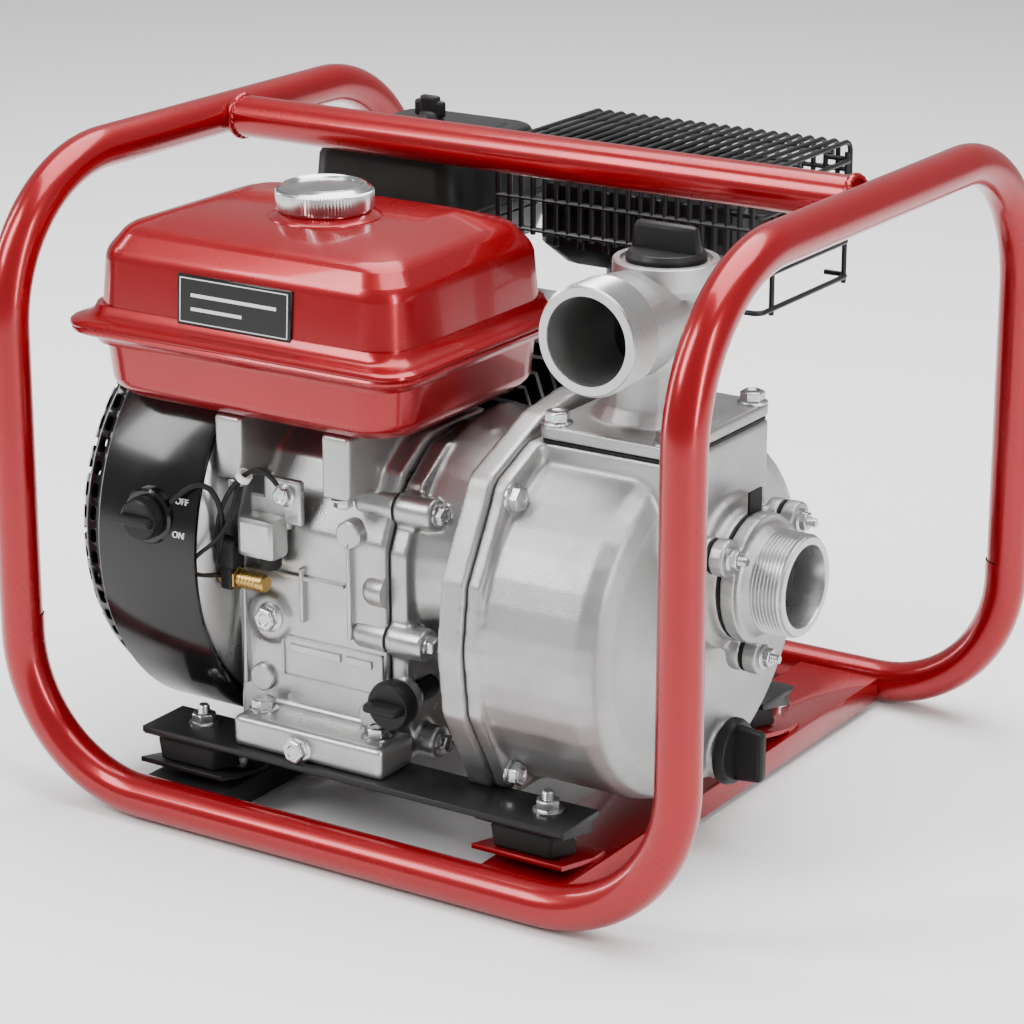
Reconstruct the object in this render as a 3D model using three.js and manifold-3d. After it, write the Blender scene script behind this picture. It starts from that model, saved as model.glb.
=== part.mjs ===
// Petrol-engine water pump in a tubular carry frame, built solid by solid.
// Millimetres. X runs along the crankshaft (pump and suction at +X, recoil starter at -X),
// -Y is the fuel-tank and discharge side, +Y the air-cleaner and exhaust side, +Z is up,
// and the floor is z = 0.
import * as THREE from 'three';
import { mergeVertices } from 'three/addons/utils/BufferGeometryUtils.js';
import Module from 'manifold-3d';

const wasm = await Module();
wasm.setup();

// ---------------------------------------------------------------- driving dimensions
const GAP = 0.3; // clearance between neighbouring pieces
const DEG = Math.PI / 180;

const FRAME = {
  r: 13, // tube radius
  x: 227.2, // half length between tube centres
  y: 204.35, // half width between tube centres
  zTop: 379.1,
  zJoint: 112, // height of the butt welds between hoops and bottom runs
  bendTop: 93,
  bendBottom: 88,
  barY: 7,
};
const CROSS = { x: 119.5, halfWidth: 28, top: 20, wall: 3, lip: 15 };
const RAIL = { x0: -152, x1: 144, top: 50, thick: 4, front: [-187, -148], rear: [43, 82] };
const MOUNT = { x: [-123, 114], y: [-168, 64], slope: Math.tan(12 * DEG), rubber: 15 }; // sloping rubber blocks

const AXIS = { y: -58, z: 160 }; // crankshaft and pump shaft
const CYL = { x: -46, tilt: 25 * DEG, bore: 35, throw: 27.5, rod: 84 };

const CASE = { x0: -104, x1: 2, wall: 9 };
const BELL = { x0: -112, x1: -103, rim: 106, root: 94, top: 240 }; // flange behind the flywheel
const COVER = { x0: 2.3, x1: 44 };
const DIPSTICK = { x: 13, z: 90 };
const SHROUD = { x0: -184, x1: -108, r: 131, wall: 4, roof: 246.8 }; // flat roof under the tank
const RECOIL = { x0: -208, r: 123, wall: 3 };
const TANK = { x0: -188, x1: 30, y0: -182, y1: -14, bottom: 248, seam: 292, top: 357, wall: 3, lip: 12 };
const CAP = { x: -68, y: -108, r: 29, z0: 359, z1: 376 };
const CLEANER = { x0: -174, x1: -62, y0: 14, y1: 134, z0: 302, split: 322, top: 372 };
const EXHAUST = { x0: -32, x1: 116, y0: 56, y1: 148, z0: 300, z1: 362 };
const GUARD = { x0: -46, x1: 132, y0: 40, y1: 162, z0: 290, z1: 374, wire: 2 };

const DRUM = { y: -60, z: 141, r: 107, wide: 1.14, x1: 162, wall: 6 }; // oval: wider than tall
const FLANGE = { x0: 60, mid: 76, x1: 86, corner: 95, bulge: [125, 122, 127, 104] }; // bulge: back, top, front, bottom
const PORT = { x0: 82, x1: 170, y0: -117, y1: -4, z0: 250, z1: 258 }; // top plate of the casing
const COLUMN = { x: 126, y: -60, r: 32, zOut: 317, yOut: -137, outR: 30.5, outBore: 25 };
const PRIME = { x: 130, y: -58, r: 26, top: 347 };
const SUCTION = { y: -50, z: 168, r: 29, bore: 24, seat: 182, x1: 219, bolts: [30, 150, 270], pitch: 47 };
const DRAIN = { y: -40, z: 54, r: 18 };

// ---------------------------------------------------------------- materials
const finish = (color, metalness, roughness) => new THREE.MeshStandardMaterial({ color, metalness, roughness });
const PAINT_RED = finish(0xa8141c, 0.1, 0.25);
const PAINT_BLACK = finish(0x17181a, 0.1, 0.35);
const CAST = finish(0xb9bab8, 0.8, 0.45);
const STEEL = finish(0x8f9296, 0.9, 0.35);
const CHROME = finish(0xd5d7d9, 1.0, 0.15);
const PLASTIC = finish(0x141414, 0.0, 0.45);
const GLOSS = finish(0x0d0d0e, 0.0, 0.2);
const RUBBER = finish(0x1c1c1c, 0.0, 0.85);
const BRASS = finish(0xb08a3c, 0.9, 0.35);
const PAPER = finish(0xb59a5a, 0.0, 0.9);

// ---------------------------------------------------------------- solid helpers
const V = (x, y, z) => new THREE.Vector3(x, y, z);

/** A closed manifold from any closed three.js geometry. */
function solid(geometry) {
  const g = geometry.index ? geometry.toNonIndexed() : geometry.clone();
  for (const name of Object.keys(g.attributes)) if (name !== 'position') g.deleteAttribute(name);
  const merged = mergeVertices(g, 1e-4);
  const triVerts = Uint32Array.from(merged.index.array);
  const kept = [];
  for (let i = 0; i < triVerts.length; i += 3) {
    const [a, b, c] = [triVerts[i], triVerts[i + 1], triVerts[i + 2]];
    if (a !== b && b !== c && a !== c) kept.push(a, b, c);
  }
  return new wasm.Manifold(new wasm.Mesh({
    numProp: 3,
    vertProperties: Float32Array.from(merged.attributes.position.array),
    triVerts: Uint32Array.from(kept),
  }));
}

const join = (...parts) => parts.reduce((a, b) => a.add(b));
const cut = (body, ...tools) => tools.reduce((a, b) => a.subtract(b), body);

const box = (x0, x1, y0, y1, z0, z1) => solid(new THREE.BoxGeometry(x1 - x0, y1 - y0, z1 - z0)
  .translate((x0 + x1) / 2, (y0 + y1) / 2, (z0 + z1) / 2));

/** Round bar or cone between two points; r0 at the start, r1 at the end. */
function rod(from, to, r0, r1 = r0, sides = 24) {
  const axis = to.clone().sub(from);
  const g = new THREE.CylinderGeometry(r1, r0, axis.length(), sides);
  g.applyQuaternion(new THREE.Quaternion().setFromUnitVectors(V(0, 1, 0), axis.clone().normalize()));
  return solid(g.translate(...from.clone().add(to).multiplyScalar(0.5).toArray()));
}
const rodX = (x0, x1, y, z, r0, r1, sides) => rod(V(x0, y, z), V(x1, y, z), r0, r1, sides);
const rodY = (y0, y1, x, z, r0, r1, sides) => rod(V(x, y0, z), V(x, y1, z), r0, r1, sides);
const rodZ = (z0, z1, x, y, r0, r1, sides) => rod(V(x, y, z0), V(x, y, z1), r0, r1, sides);

/** Outline given as [y, z] pairs, extruded along X. */
function plateX(points, x0, x1) {
  const shape = new THREE.Shape(points.map(([y, z]) => new THREE.Vector2(y, z)));
  const g = new THREE.ExtrudeGeometry(shape, { depth: x1 - x0, bevelEnabled: false });
  g.applyMatrix4(new THREE.Matrix4().makeBasis(V(0, 1, 0), V(0, 0, 1), V(1, 0, 0)));
  return solid(g.translate(x0, 0, 0));
}

/** Outline given as [x, y] pairs, extruded along Z. */
function plateZ(points, z0, z1) {
  const shape = new THREE.Shape(points.map(([x, y]) => new THREE.Vector2(x, y)));
  return solid(new THREE.ExtrudeGeometry(shape, { depth: z1 - z0, bevelEnabled: false }).translate(0, 0, z0));
}

/** Solid of revolution about the X line through (y, z); profile is [x, radius] pairs, wide stretches it along Y. */
function turnX(profile, y, z, sides = 32, wide = 1) {
  const g = new THREE.LatheGeometry(profile.map(([x, r]) => new THREE.Vector2(r, x)), sides);
  const body = solid(g.rotateZ(-Math.PI / 2).scale(1, wide, 1).translate(0, y, z));
  return body.volume() > 0 ? body : solid(flipped(g));
}
/** Solid of revolution about the vertical through (x, y); profile is [z, radius] pairs. */
function turnZ(profile, x, y, sides = 36) {
  const g = new THREE.LatheGeometry(profile.map(([z, r]) => new THREE.Vector2(r, z)), sides);
  const body = solid(g.rotateX(Math.PI / 2).translate(x, y, 0));
  return body.volume() > 0 ? body : solid(flipped(g));
}
function flipped(geometry) {
  const g = geometry.index ? geometry.toNonIndexed() : geometry.clone();
  const p = g.attributes.position;
  for (let i = 0; i < p.count; i += 3) {
    const [a, b] = [V(0, 0, 0).fromBufferAttribute(p, i + 1), V(0, 0, 0).fromBufferAttribute(p, i + 2)];
    p.setXYZ(i + 1, b.x, b.y, b.z);
    p.setXYZ(i + 2, a.x, a.y, a.z);
  }
  return g;
}

/** Rounded-corner rectangle outline as [a, b] pairs. */
function roundRect(a0, a1, b0, b1, r, steps = 4) {
  const out = [];
  for (const [ca, cb, start] of [[a1 - r, b1 - r, 0], [a0 + r, b1 - r, 90], [a0 + r, b0 + r, 180], [a1 - r, b0 + r, 270]]) {
    for (let i = 0; i <= steps; i++) {
      const t = (start + (90 * i) / steps) * DEG;
      out.push([ca + r * Math.cos(t), cb + r * Math.sin(t)]);
    }
  }
  return out;
}

/** Skin over a stack of matching horizontal outlines: [{ z, outline }]. */
function loftZ(levels) {
  const n = levels[0].outline.length;
  const ring = levels.map(({ z, outline }) => outline.map(([x, y]) => V(x, y, z)));
  const centre = (k) => ring[k].reduce((s, p) => s.add(p), V(0, 0, 0)).divideScalar(n);
  const tri = [];
  for (let k = 0; k + 1 < ring.length; k++) {
    for (let i = 0; i < n; i++) {
      const j = (i + 1) % n;
      tri.push(ring[k][i], ring[k][j], ring[k + 1][j], ring[k][i], ring[k + 1][j], ring[k + 1][i]);
    }
  }
  const [low, high, last] = [centre(0), centre(ring.length - 1), ring.length - 1];
  for (let i = 0; i < n; i++) {
    const j = (i + 1) % n;
    tri.push(low, ring[0][j], ring[0][i], high, ring[last][i], ring[last][j]);
  }
  return solid(new THREE.BufferGeometry().setFromPoints(tri));
}

/** Path that hands its own knots to the extruder, so straights stay a single step long. */
class KnotPath extends THREE.Curve {
  constructor(knots) {
    super();
    this.knots = knots;
    this.last = knots.length - 1;
  }

  getSpacedPoints() {
    return this.knots;
  }

  getPoint(t) {
    return this.knots[Math.round(t * this.last)].clone();
  }

  getTangentAt(u, target = V(0, 0, 0)) {
    const i = Math.round(u * this.last);
    const here = this.knots[i];
    target.set(0, 0, 0);
    if (i > 0) target.add(here.clone().sub(this.knots[i - 1]).normalize());
    if (i < this.last) target.add(this.knots[i + 1].clone().sub(here).normalize());
    return target.normalize();
  }
}

/** Corner points with each inner corner replaced by an arc of the given radius. */
function filleted(corners, radius, steps = 6) {
  const out = [corners[0]];
  for (let i = 1; i + 1 < corners.length; i++) {
    const toPrev = corners[i - 1].clone().sub(corners[i]).normalize();
    const toNext = corners[i + 1].clone().sub(corners[i]).normalize();
    const half = toPrev.angleTo(toNext) / 2;
    const centre = toPrev.clone().add(toNext).normalize().multiplyScalar(radius / Math.sin(half)).add(corners[i]);
    const start = corners[i].clone().addScaledVector(toPrev, radius / Math.tan(half)).sub(centre);
    const end = corners[i].clone().addScaledVector(toNext, radius / Math.tan(half)).sub(centre);
    const sweep = start.angleTo(end);
    const normal = start.clone().cross(end).normalize();
    for (let k = 0; k <= steps; k++) out.push(start.clone().applyAxisAngle(normal, (sweep * k) / steps).add(centre));
  }
  out.push(corners[corners.length - 1]);
  return out;
}

/** Round tube or wire along knots. */
function sweep(knots, r, sides = 14) {
  const shape = new THREE.Shape();
  for (let i = 0; i < sides; i++) {
    const t = (2 * Math.PI * i) / sides;
    shape[i ? 'lineTo' : 'moveTo'](r * Math.cos(t), r * Math.sin(t));
  }
  const g = new THREE.ExtrudeGeometry(shape, { steps: knots.length - 1, extrudePath: new KnotPath(knots), curveSegments: 1 });
  const body = solid(g);
  return body.volume() > 0 ? body : solid(flipped(g));
}

/** Point at distance t along the inclined cylinder and u across it, in the plane x. */
const DIR = { y: Math.cos(CYL.tilt), z: Math.sin(CYL.tilt) };
const along = (t, u = 0, x = CYL.x) => V(x, AXIS.y + t * DIR.y - u * DIR.z, AXIS.z + t * DIR.z + u * DIR.y);
/** Block that lies square to the cylinder: t0..t1 along it, u0..u1 across, x0..x1. */
const tilted = (t0, t1, u0, u1, x0, x1) => plateX(
  [[t0, u0], [t1, u0], [t1, u1], [t0, u1]].map(([t, u]) => [along(t, u).y, along(t, u).z]), x0, x1);

const group = new THREE.Group();
function node(name, body, material) {
  const m = body.getMesh();
  const g = new THREE.BufferGeometry();
  g.setAttribute('position', new THREE.BufferAttribute(Float32Array.from(m.vertProperties), 3));
  g.setIndex(new THREE.BufferAttribute(Uint32Array.from(m.triVerts), 1));
  g.computeVertexNormals();
  const mesh = new THREE.Mesh(g, material);
  mesh.name = name;
  group.add(mesh);
}

// ---------------------------------------------------------------- carry frame
for (const [name, s] of [['frame_hoop_left', -1], ['frame_hoop_right', 1]]) {
  const x = s * FRAME.x;
  const z0 = FRAME.zJoint + GAP / 2;
  node(name, sweep(filleted([V(x, -FRAME.y, z0), V(x, -FRAME.y, FRAME.zTop), V(x, FRAME.y, FRAME.zTop), V(x, FRAME.y, z0)],
    FRAME.bendTop), FRAME.r), PAINT_RED);
}
for (const [name, s] of [['frame_bottom_front', -1], ['frame_bottom_back', 1]]) {
  const y = s * FRAME.y;
  const z1 = FRAME.zJoint - GAP / 2;
  node(name, sweep(filleted([V(-FRAME.x, y, z1), V(-FRAME.x, y, FRAME.r), V(FRAME.x, y, FRAME.r), V(FRAME.x, y, z1)],
    FRAME.bendBottom), FRAME.r), PAINT_RED);
}
const barEnd = FRAME.x - FRAME.r - GAP;
node('frame_top_bar', rodX(-barEnd, barEnd, FRAME.barY, FRAME.zTop, FRAME.r, FRAME.r, 20), PAINT_RED);

/** Height of the sloping bracket face under a mount centred on yc. */
const bracketTop = (y, yc) => CROSS.top + 3 + (yc + 14 - y) * MOUNT.slope;

/** Pressed cross-member with its two welded, sloping mount brackets. */
function crossMember(s) {
  const [x0, x1] = [s * CROSS.x - CROSS.halfWidth, s * CROSS.x + CROSS.halfWidth];
  const yEnd = FRAME.y - FRAME.r - 2 * GAP;
  const { top, wall, lip } = CROSS;
  const xm = MOUNT.x[s < 0 ? 0 : 1];
  let body = join(
    box(x0, x1, -yEnd, yEnd, top - wall, top),
    box(x0, x0 + wall, -yEnd, yEnd, top - lip, top - 1),
    box(x1 - wall, x1, -yEnd, yEnd, top - lip, top - 1),
  );
  for (const yc of MOUNT.y) {
    const at = (y, dz) => [y, bracketTop(y, yc) + dz];
    body = join(body, plateX([[yc + 26, top - 1], [yc + 26, top + 3], at(yc + 14, 0), at(yc - 20, 0), at(yc - 20, -3),
      at(yc + 13, -3), [yc + 13, top - 1]], xm - 30, xm + 30));
  }
  return body;
}
node('cross_member_left', crossMember(-1), PAINT_BLACK);
node('cross_member_right', crossMember(1), PAINT_RED);

/** Engine rail with a wedge-shaped tab over each rubber block. */
function rail([y0, y1], yc) {
  const { x0, x1, top, thick } = RAIL;
  let body = box(x0, x1, y0, y1, top - thick, top);
  for (const xm of MOUNT.x) {
    const at = (y) => [y, bracketTop(y, yc) + MOUNT.rubber];
    body = join(body, plateX([[yc - 18, top - 3], at(yc - 18), at(yc + 15), [yc + 15, top - 3]], xm - 29, xm + 29));
  }
  return body;
}
node('rail_front', rail(RAIL.front, MOUNT.y[0]), PAINT_BLACK);
node('rail_rear', rail(RAIL.rear, MOUNT.y[1]), PAINT_BLACK);
for (const [side, xm] of [['left', MOUNT.x[0]], ['right', MOUNT.x[1]]]) {
  for (const [end, yc] of [['front', MOUNT.y[0]], ['rear', MOUNT.y[1]]]) {
    const at = (y, dz) => [y, bracketTop(y, yc) + dz];
    node(`mount_rubber_${end}_${side}`, plateX([at(yc - 15, GAP), at(yc + 12, GAP), at(yc + 12, MOUNT.rubber - GAP),
      at(yc - 15, MOUNT.rubber - GAP)], xm - 21, xm + 21), RUBBER);
  }
}

// ---------------------------------------------------------------- crankcase and side cover
const caseOuter = [[-152, 50.3], [88, 50.3], [88, 64], [44, 74], [along(50.0, -56).y, along(50.0, -56).z],
  [along(50, 56).y, along(50, 56).z], [-48, 238], [-106, 238], [-134, 220], [-152, 180]];
const caseInner = [[-143, 60], [28, 60], [34, 74], [along(43, -48).y, along(43, -48).z],
  [along(43, 48).y, along(43, 48).z], [-56, 229], [-101, 229], [-126, 214], [-143, 176]];
{
  let body = join(plateX(caseOuter, CASE.x0, CASE.x1), box(-88, 18, -182, -148, 50.3, 69));
  body = cut(body, plateX(caseInner, CASE.x0 + CASE.wall, CASE.x1 + 1));
  let bell = rodX(BELL.x0, BELL.x1, AXIS.y, AXIS.z, BELL.rim, BELL.root, 44);
  bell = cut(bell, box(BELL.x0 - 1, BELL.x1 + 1, -170, 60, BELL.top, 270));
  body = join(body, bell);
  // spigot hole for the cylinder, plain main bearing, tank lugs
  body = cut(body, rod(along(38), along(55), 40.3), rodX(BELL.x0 - 1, CASE.x0 + CASE.wall + 1, AXIS.y, AXIS.z, 12.6));
  for (const x of [-97, -21]) body = join(body, box(x - 10, x + 10, -168, -112, 208, TANK.bottom - GAP));
  body = join(body, rodY(-156, -148, -80, 123, 14));
  node('crankcase', body, CAST);
}
{
  const outline = [[-143, 51], [-148, 84], [-149, 176], [-131, 214], [-105, 233], [-46, 233],
    [along(47, 50).y, along(47, 50).z], [along(47, -50).y, along(47, -50).z], [36, 66], [20, 51]];
  let body = join(plateX(outline, COVER.x0, COVER.x0 + 12), rodX(COVER.x0 + 11, COVER.x1, AXIS.y, AXIS.z, 84, 74, 40));
  for (const [y, z] of [[-136, 200], [-146, 124], [-134, 60], [-76, 228], [-20, 66], [6, 132]]) {
    body = join(body, rodX(COVER.x0, 28, y, z, 10, 10, 20));
  }
  body = cut(body, rodX(COVER.x0 - 1, COVER.x1 - 8, AXIS.y, AXIS.z, 70, 66, 40), rodX(0, 60, AXIS.y, AXIS.z, 12.6));
  body = join(body, rodY(-156, -144, DIPSTICK.x, DIPSTICK.z, 10.4));
  body = cut(body, rodY(-160, -120, DIPSTICK.x, DIPSTICK.z, 6.6));
  node('side_cover', body, CAST);
}

// ---------------------------------------------------------------- cylinder, head, crank train
{
  let body = join(rod(along(50 + GAP), along(136), 45), rod(along(41), along(52), 40));
  for (let t = 62; t < 132; t += 14) body = join(body, tilted(t, t + 3, -52, 54, CYL.x - 52, CYL.x + 52));
  body = cut(body, rod(along(40), along(137), CYL.bore));
  node('cylinder_barrel', body, PAINT_BLACK);
}
{
  let body = tilted(136 + GAP, 148, -50, 50, CYL.x - 50, CYL.x + 50);
  body = join(body, tilted(147, 164, -40, 40, CYL.x - 42, CYL.x + 42));
  for (const t of [151, 158]) body = join(body, tilted(t, t + 3, -50, 50, CYL.x - 50, CYL.x + 50));
  node('cylinder_head', body, PAINT_BLACK);
}
node('valve_cover', join(tilted(164 + GAP, 168, -46, 46, CYL.x - 46, CYL.x + 46),
  tilted(167, 186, -38, 38, CYL.x - 38, CYL.x + 38)), CAST);
node('spark_plug', join(rodX(CYL.x + 50 + GAP, 22, along(154.5).y, along(154.5, 0).z, 8, 8, 12),
  rodX(20, 44, along(154.5).y, along(154.5).z, 10, 9, 16)), RUBBER);
{
  const pin = along(CYL.throw);
  let body = rodX(-182, -66, AXIS.y, AXIS.z, 12);
  body = join(body, rodX(-67, -56, AXIS.y, AXIS.z, 40), rodX(-57, -35, pin.y, pin.z, 12, 12, 24),
    rodX(-36, -25, AXIS.y, AXIS.z, 40), rodX(-26, 106, AXIS.y, AXIS.z, 12));
  node('crankshaft', body, STEEL);
}
{
  const pinAt = CYL.throw + CYL.rod;
  let body = cut(rod(along(pinAt - 24), along(pinAt + 20), 34.6), rod(along(pinAt - 25), along(pinAt + 14.3), 29));
  body = join(body, rodX(CYL.x - 29.5, CYL.x + 29.5, along(pinAt).y, along(pinAt).z, 8, 8, 20));
  node('piston', body, CAST);
  const eye = cut(rodX(CYL.x - 9, CYL.x + 9, along(pinAt).y, along(pinAt).z, 13.5, 13.5, 24),
    rodX(CYL.x - 20, CYL.x + 20, along(pinAt).y, along(pinAt).z, 8.3, 8.3, 20));
  node('connecting_rod', join(eye, tilted(44, pinAt - 11, -7, 7, CYL.x - 5, CYL.x + 5),
    tilted(44, 52, -16, 16, CYL.x - 8, CYL.x + 8)), STEEL);
}

// ---------------------------------------------------------------- fan, shroud and recoil starter
{
  const profile = [[-136, 12.4], [-120, 12.4], [-120, 80], [-128, 80], [-131, 66], [-136, 62], [-136, 12.4]];
  let body = join(turnX(profile, AXIS.y, AXIS.z, 40));
  for (let k = 0; k < 8; k++) {
    const a = (k * 45) * DEG;
    const [c, s] = [Math.cos(a), Math.sin(a)];
    const at = (r, w) => [AXIS.y + r * c - w * s, AXIS.z + r * s + w * c];
    body = join(body, plateX([at(46, -2), at(78, 5), at(78, 8), at(46, 1)], -152, -126));
  }
  body = join(body, turnX([[-168, 30], [-135, 30], [-135, 34], [-168, 34], [-168, 30]], AXIS.y, AXIS.z, 32));
  node('flywheel_fan', body, STEEL);
}
{
  const { x0, x1, r, wall, roof } = SHROUD;
  const below = (z) => box(-260, 60, -260, 260, -20, z);
  const outer = turnX([[x0, 0], [x0, r - 8], [x0 + 6, r], [x1, r], [x1, 0]], AXIS.y, AXIS.z, 44).intersect(below(roof));
  const inner = turnX([[x0 + wall, 0], [x0 + wall, r - 12], [x0 + wall + 4, r - wall], [x1 + 1, r - wall], [x1 + 1, 0]], AXIS.y, AXIS.z, 44)
    .intersect(below(roof - 3));
  let body = cut(outer, inner, rodX(x0 - 1, x0 + wall + 1, AXIS.y, AXIS.z, 83, 83, 36));
  body = join(body, rodY(-190, -170, -141, 184, 17, 17, 28));
  body = cut(body, rodY(-200, -160, -141, 184, 5.3, 5.3, 16));
  body = cut(body, box(-124, -90, 40, 200, 160, 330)); // air outlet towards the cylinder
  node('fan_shroud', body, GLOSS);
}
{
  const xb = SHROUD.x0 - GAP;
  const { x0, r, wall } = RECOIL;
  const below = (z) => box(-260, 60, -260, 260, -20, z);
  const outer = turnX([[xb, 0], [xb, r], [xb - 9, r], [xb - 19, r - 8], [x0, r - 20], [x0, 0]], AXIS.y, AXIS.z, 44).intersect(below(SHROUD.roof));
  const inner = turnX([[xb + 1, 0], [xb + 1, r - wall], [xb - 9, r - wall], [xb - 18, r - 11], [x0 + wall, r - 22], [x0 + wall, 0]], AXIS.y, AXIS.z, 44)
    .intersect(below(SHROUD.roof - 3));
  let body = cut(outer, inner);
  for (let k = 0; k < 20; k++) {
    if (k >= 2 && k <= 7) continue; // solid under the roof and where the rope guide stands
    const a = (k * 18 + 4) * DEG;
    const [c, s] = [Math.cos(a), Math.sin(a)];
    const at = (rr, w) => [AXIS.y + rr * c - w * s, AXIS.z + rr * s + w * c];
    body = cut(body, plateX([at(72, -4), at(r + 5, -7), at(r + 5, 7), at(72, 4)], x0 - 2, xb - 6));
  }
  body = join(body, rodX(x0 + 1, -186, AXIS.y, AXIS.z, 9, 9, 20));
  const out = V(0, Math.cos(40 * DEG), Math.sin(40 * DEG));
  const at = (d) => V(-193, AXIS.y + d * out.y, AXIS.z + d * out.z);
  body = join(body, rod(at(r - 12), at(r + 6), 9, 8, 20));
  body = cut(body, rod(at(r - 20), at(r + 10), 3.5, 3.5, 12));
  node('recoil_cover', body, GLOSS);
  node('recoil_pulley', turnX([[-200, 9.4], [-188, 9.4], [-188, 46], [-191, 46], [-191, 40], [-197, 40], [-197, 46], [-200, 46], [-200, 9.4]],
    AXIS.y, AXIS.z, 36), PLASTIC);
  const side = V(0, -out.z, out.y);
  const grip = at(r + 18);
  node('starter_handle', join(
    rod(grip.clone().addScaledVector(side, -34), grip.clone().addScaledVector(side, 34), 8.5, 8.5, 16),
    rod(at(r + 6 + GAP), at(r + 18), 7, 8, 16), rod(at(r - 30), at(r + 14), 1.8, 1.8, 8)), PLASTIC);
}
node('ignition_coil', box(-142, -122, AXIS.y + 88, AXIS.y + 110, AXIS.z - 34, AXIS.z + 10), PLASTIC);
node('switch_knob', join(rodY(-199, -190 - GAP, -141, 184, 11.5, 13, 28), rodY(-192, -176, -141, 184, 4.9, 4.9, 16),
  box(-152, -130, -204, -198, 181.6, 186.4)), PLASTIC);

// ---------------------------------------------------------------- fuel tank
const tankOutline = (inset, r = 22) => roundRect(TANK.x0 + inset, TANK.x1 - inset, TANK.y0 + inset, TANK.y1 - inset, r, 3);
{
  const { bottom, seam, top, wall, lip } = TANK;
  const lipPlate = (z0, z1) => plateZ(roundRect(TANK.x0 - lip, TANK.x1 + lip, TANK.y0 - lip, TANK.y1 + lip, 20, 4), z0, z1);
  let low = join(loftZ([{ z: bottom, outline: tankOutline(10) }, { z: bottom + 8, outline: tankOutline(3) },
    { z: seam, outline: tankOutline(0) }]), lipPlate(seam - 3, seam));
  low = cut(low, loftZ([{ z: bottom + wall, outline: tankOutline(12) }, { z: bottom + 10, outline: tankOutline(6) },
    { z: seam + 1, outline: tankOutline(3.2) }]));
  node('tank_lower', low, PAINT_RED);
  const neck = [[top - 2, 0], [top + 7, 0]];
  let high = join(loftZ([{ z: seam + GAP, outline: tankOutline(0) }, { z: top - 20, outline: tankOutline(3) },
    { z: top - 7, outline: tankOutline(14) }, { z: top, outline: tankOutline(36) }]), lipPlate(seam + GAP, seam + 3 + GAP),
  rodZ(neck[0][0], neck[1][0], CAP.x, CAP.y, 24));
  high = cut(high, loftZ([{ z: seam - 1, outline: tankOutline(3.2) }, { z: top - 21, outline: tankOutline(6.5) },
    { z: top - 10, outline: tankOutline(17) }, { z: top - 3, outline: tankOutline(39) }]),
  rodZ(top - 10, top + 8, CAP.x, CAP.y, 20));
  node('tank_upper', high, PAINT_RED);
}
node('fuel_cap', turnZ([[CAP.z0 - 1, 24.4], [CAP.z0 - 1, CAP.r - 1], [CAP.z0 + 4, CAP.r], [CAP.z1 - 5, CAP.r], [CAP.z1, CAP.r - 6],
  [CAP.z1, 0], [TANK.top + 7 + GAP, 0], [TANK.top + 7 + GAP, 24.4], [CAP.z0 - 1, 24.4]], CAP.x, CAP.y, 40), CHROME);

// ---------------------------------------------------------------- air cleaner, carburettor, exhaust
{
  const { x0, x1, y0, y1, z0, split, top } = CLEANER;
  const outline = (i, r = 14) => roundRect(x0 + i, x1 - i, y0 + i, y1 - i, r, 3);
  const [cx, cy] = [(x0 + x1) / 2, (y0 + y1) / 2];
  const base = cut(loftZ([{ z: z0, outline: outline(6) }, { z: split, outline: outline(0) }]),
    loftZ([{ z: z0 + 4, outline: outline(10) }, { z: split + 1, outline: outline(3) }]), rodZ(z0 - 1, z0 + 5, -127, 86, 15));
  node('air_cleaner_base', join(base, rodZ(z0 + 3, split + 6, cx, cy, 4, 4, 12)), PLASTIC);
  const cover = cut(loftZ([{ z: split + GAP, outline: outline(0) }, { z: top - 14, outline: outline(3) }, { z: top, outline: outline(15) }]),
    loftZ([{ z: split - 1, outline: outline(3) }, { z: top - 15, outline: outline(6) }, { z: top - 3, outline: outline(18) }]),
    rodZ(top - 6, top + 3, cx, cy, 4.6, 4.6, 16));
  node('air_cleaner_cover', cover, PLASTIC);
  node('air_cleaner_element', cut(plateZ(outline(16), split - 14, top - 22), plateZ(outline(34, 8), split - 15, top - 20)), PAPER);
  node('wing_nut', join(rodZ(top + GAP, top + 8, cx, cy, 8, 7, 20), box(cx - 11, cx + 11, cy - 3, cy + 3, top + 6, top + 19),
    rodZ(split + 20, top + 3, cx, cy, 4, 4, 12)), PLASTIC);
}
{
  let body = join(box(-146, -108, 66, 106, 240, 282), rodX(-109, CYL.x - 50 - GAP, 78, 232 + 14, 15, 15, 24),
    rodZ(222, 242, -127, 86, 15, 17, 24), rodZ(280, CLEANER.z0 - GAP, -127, 86, 18, 18, 24));
  body = cut(body, rodZ(256, 305, -127, 86, 12, 12, 24));
  node('carburettor', body, CAST);
}
node('choke_lever', join(rodY(60, 66 - GAP, -136, 270, 5, 5, 14), box(-166, -133, 59, 62, 267, 273)), PLASTIC);
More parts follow.
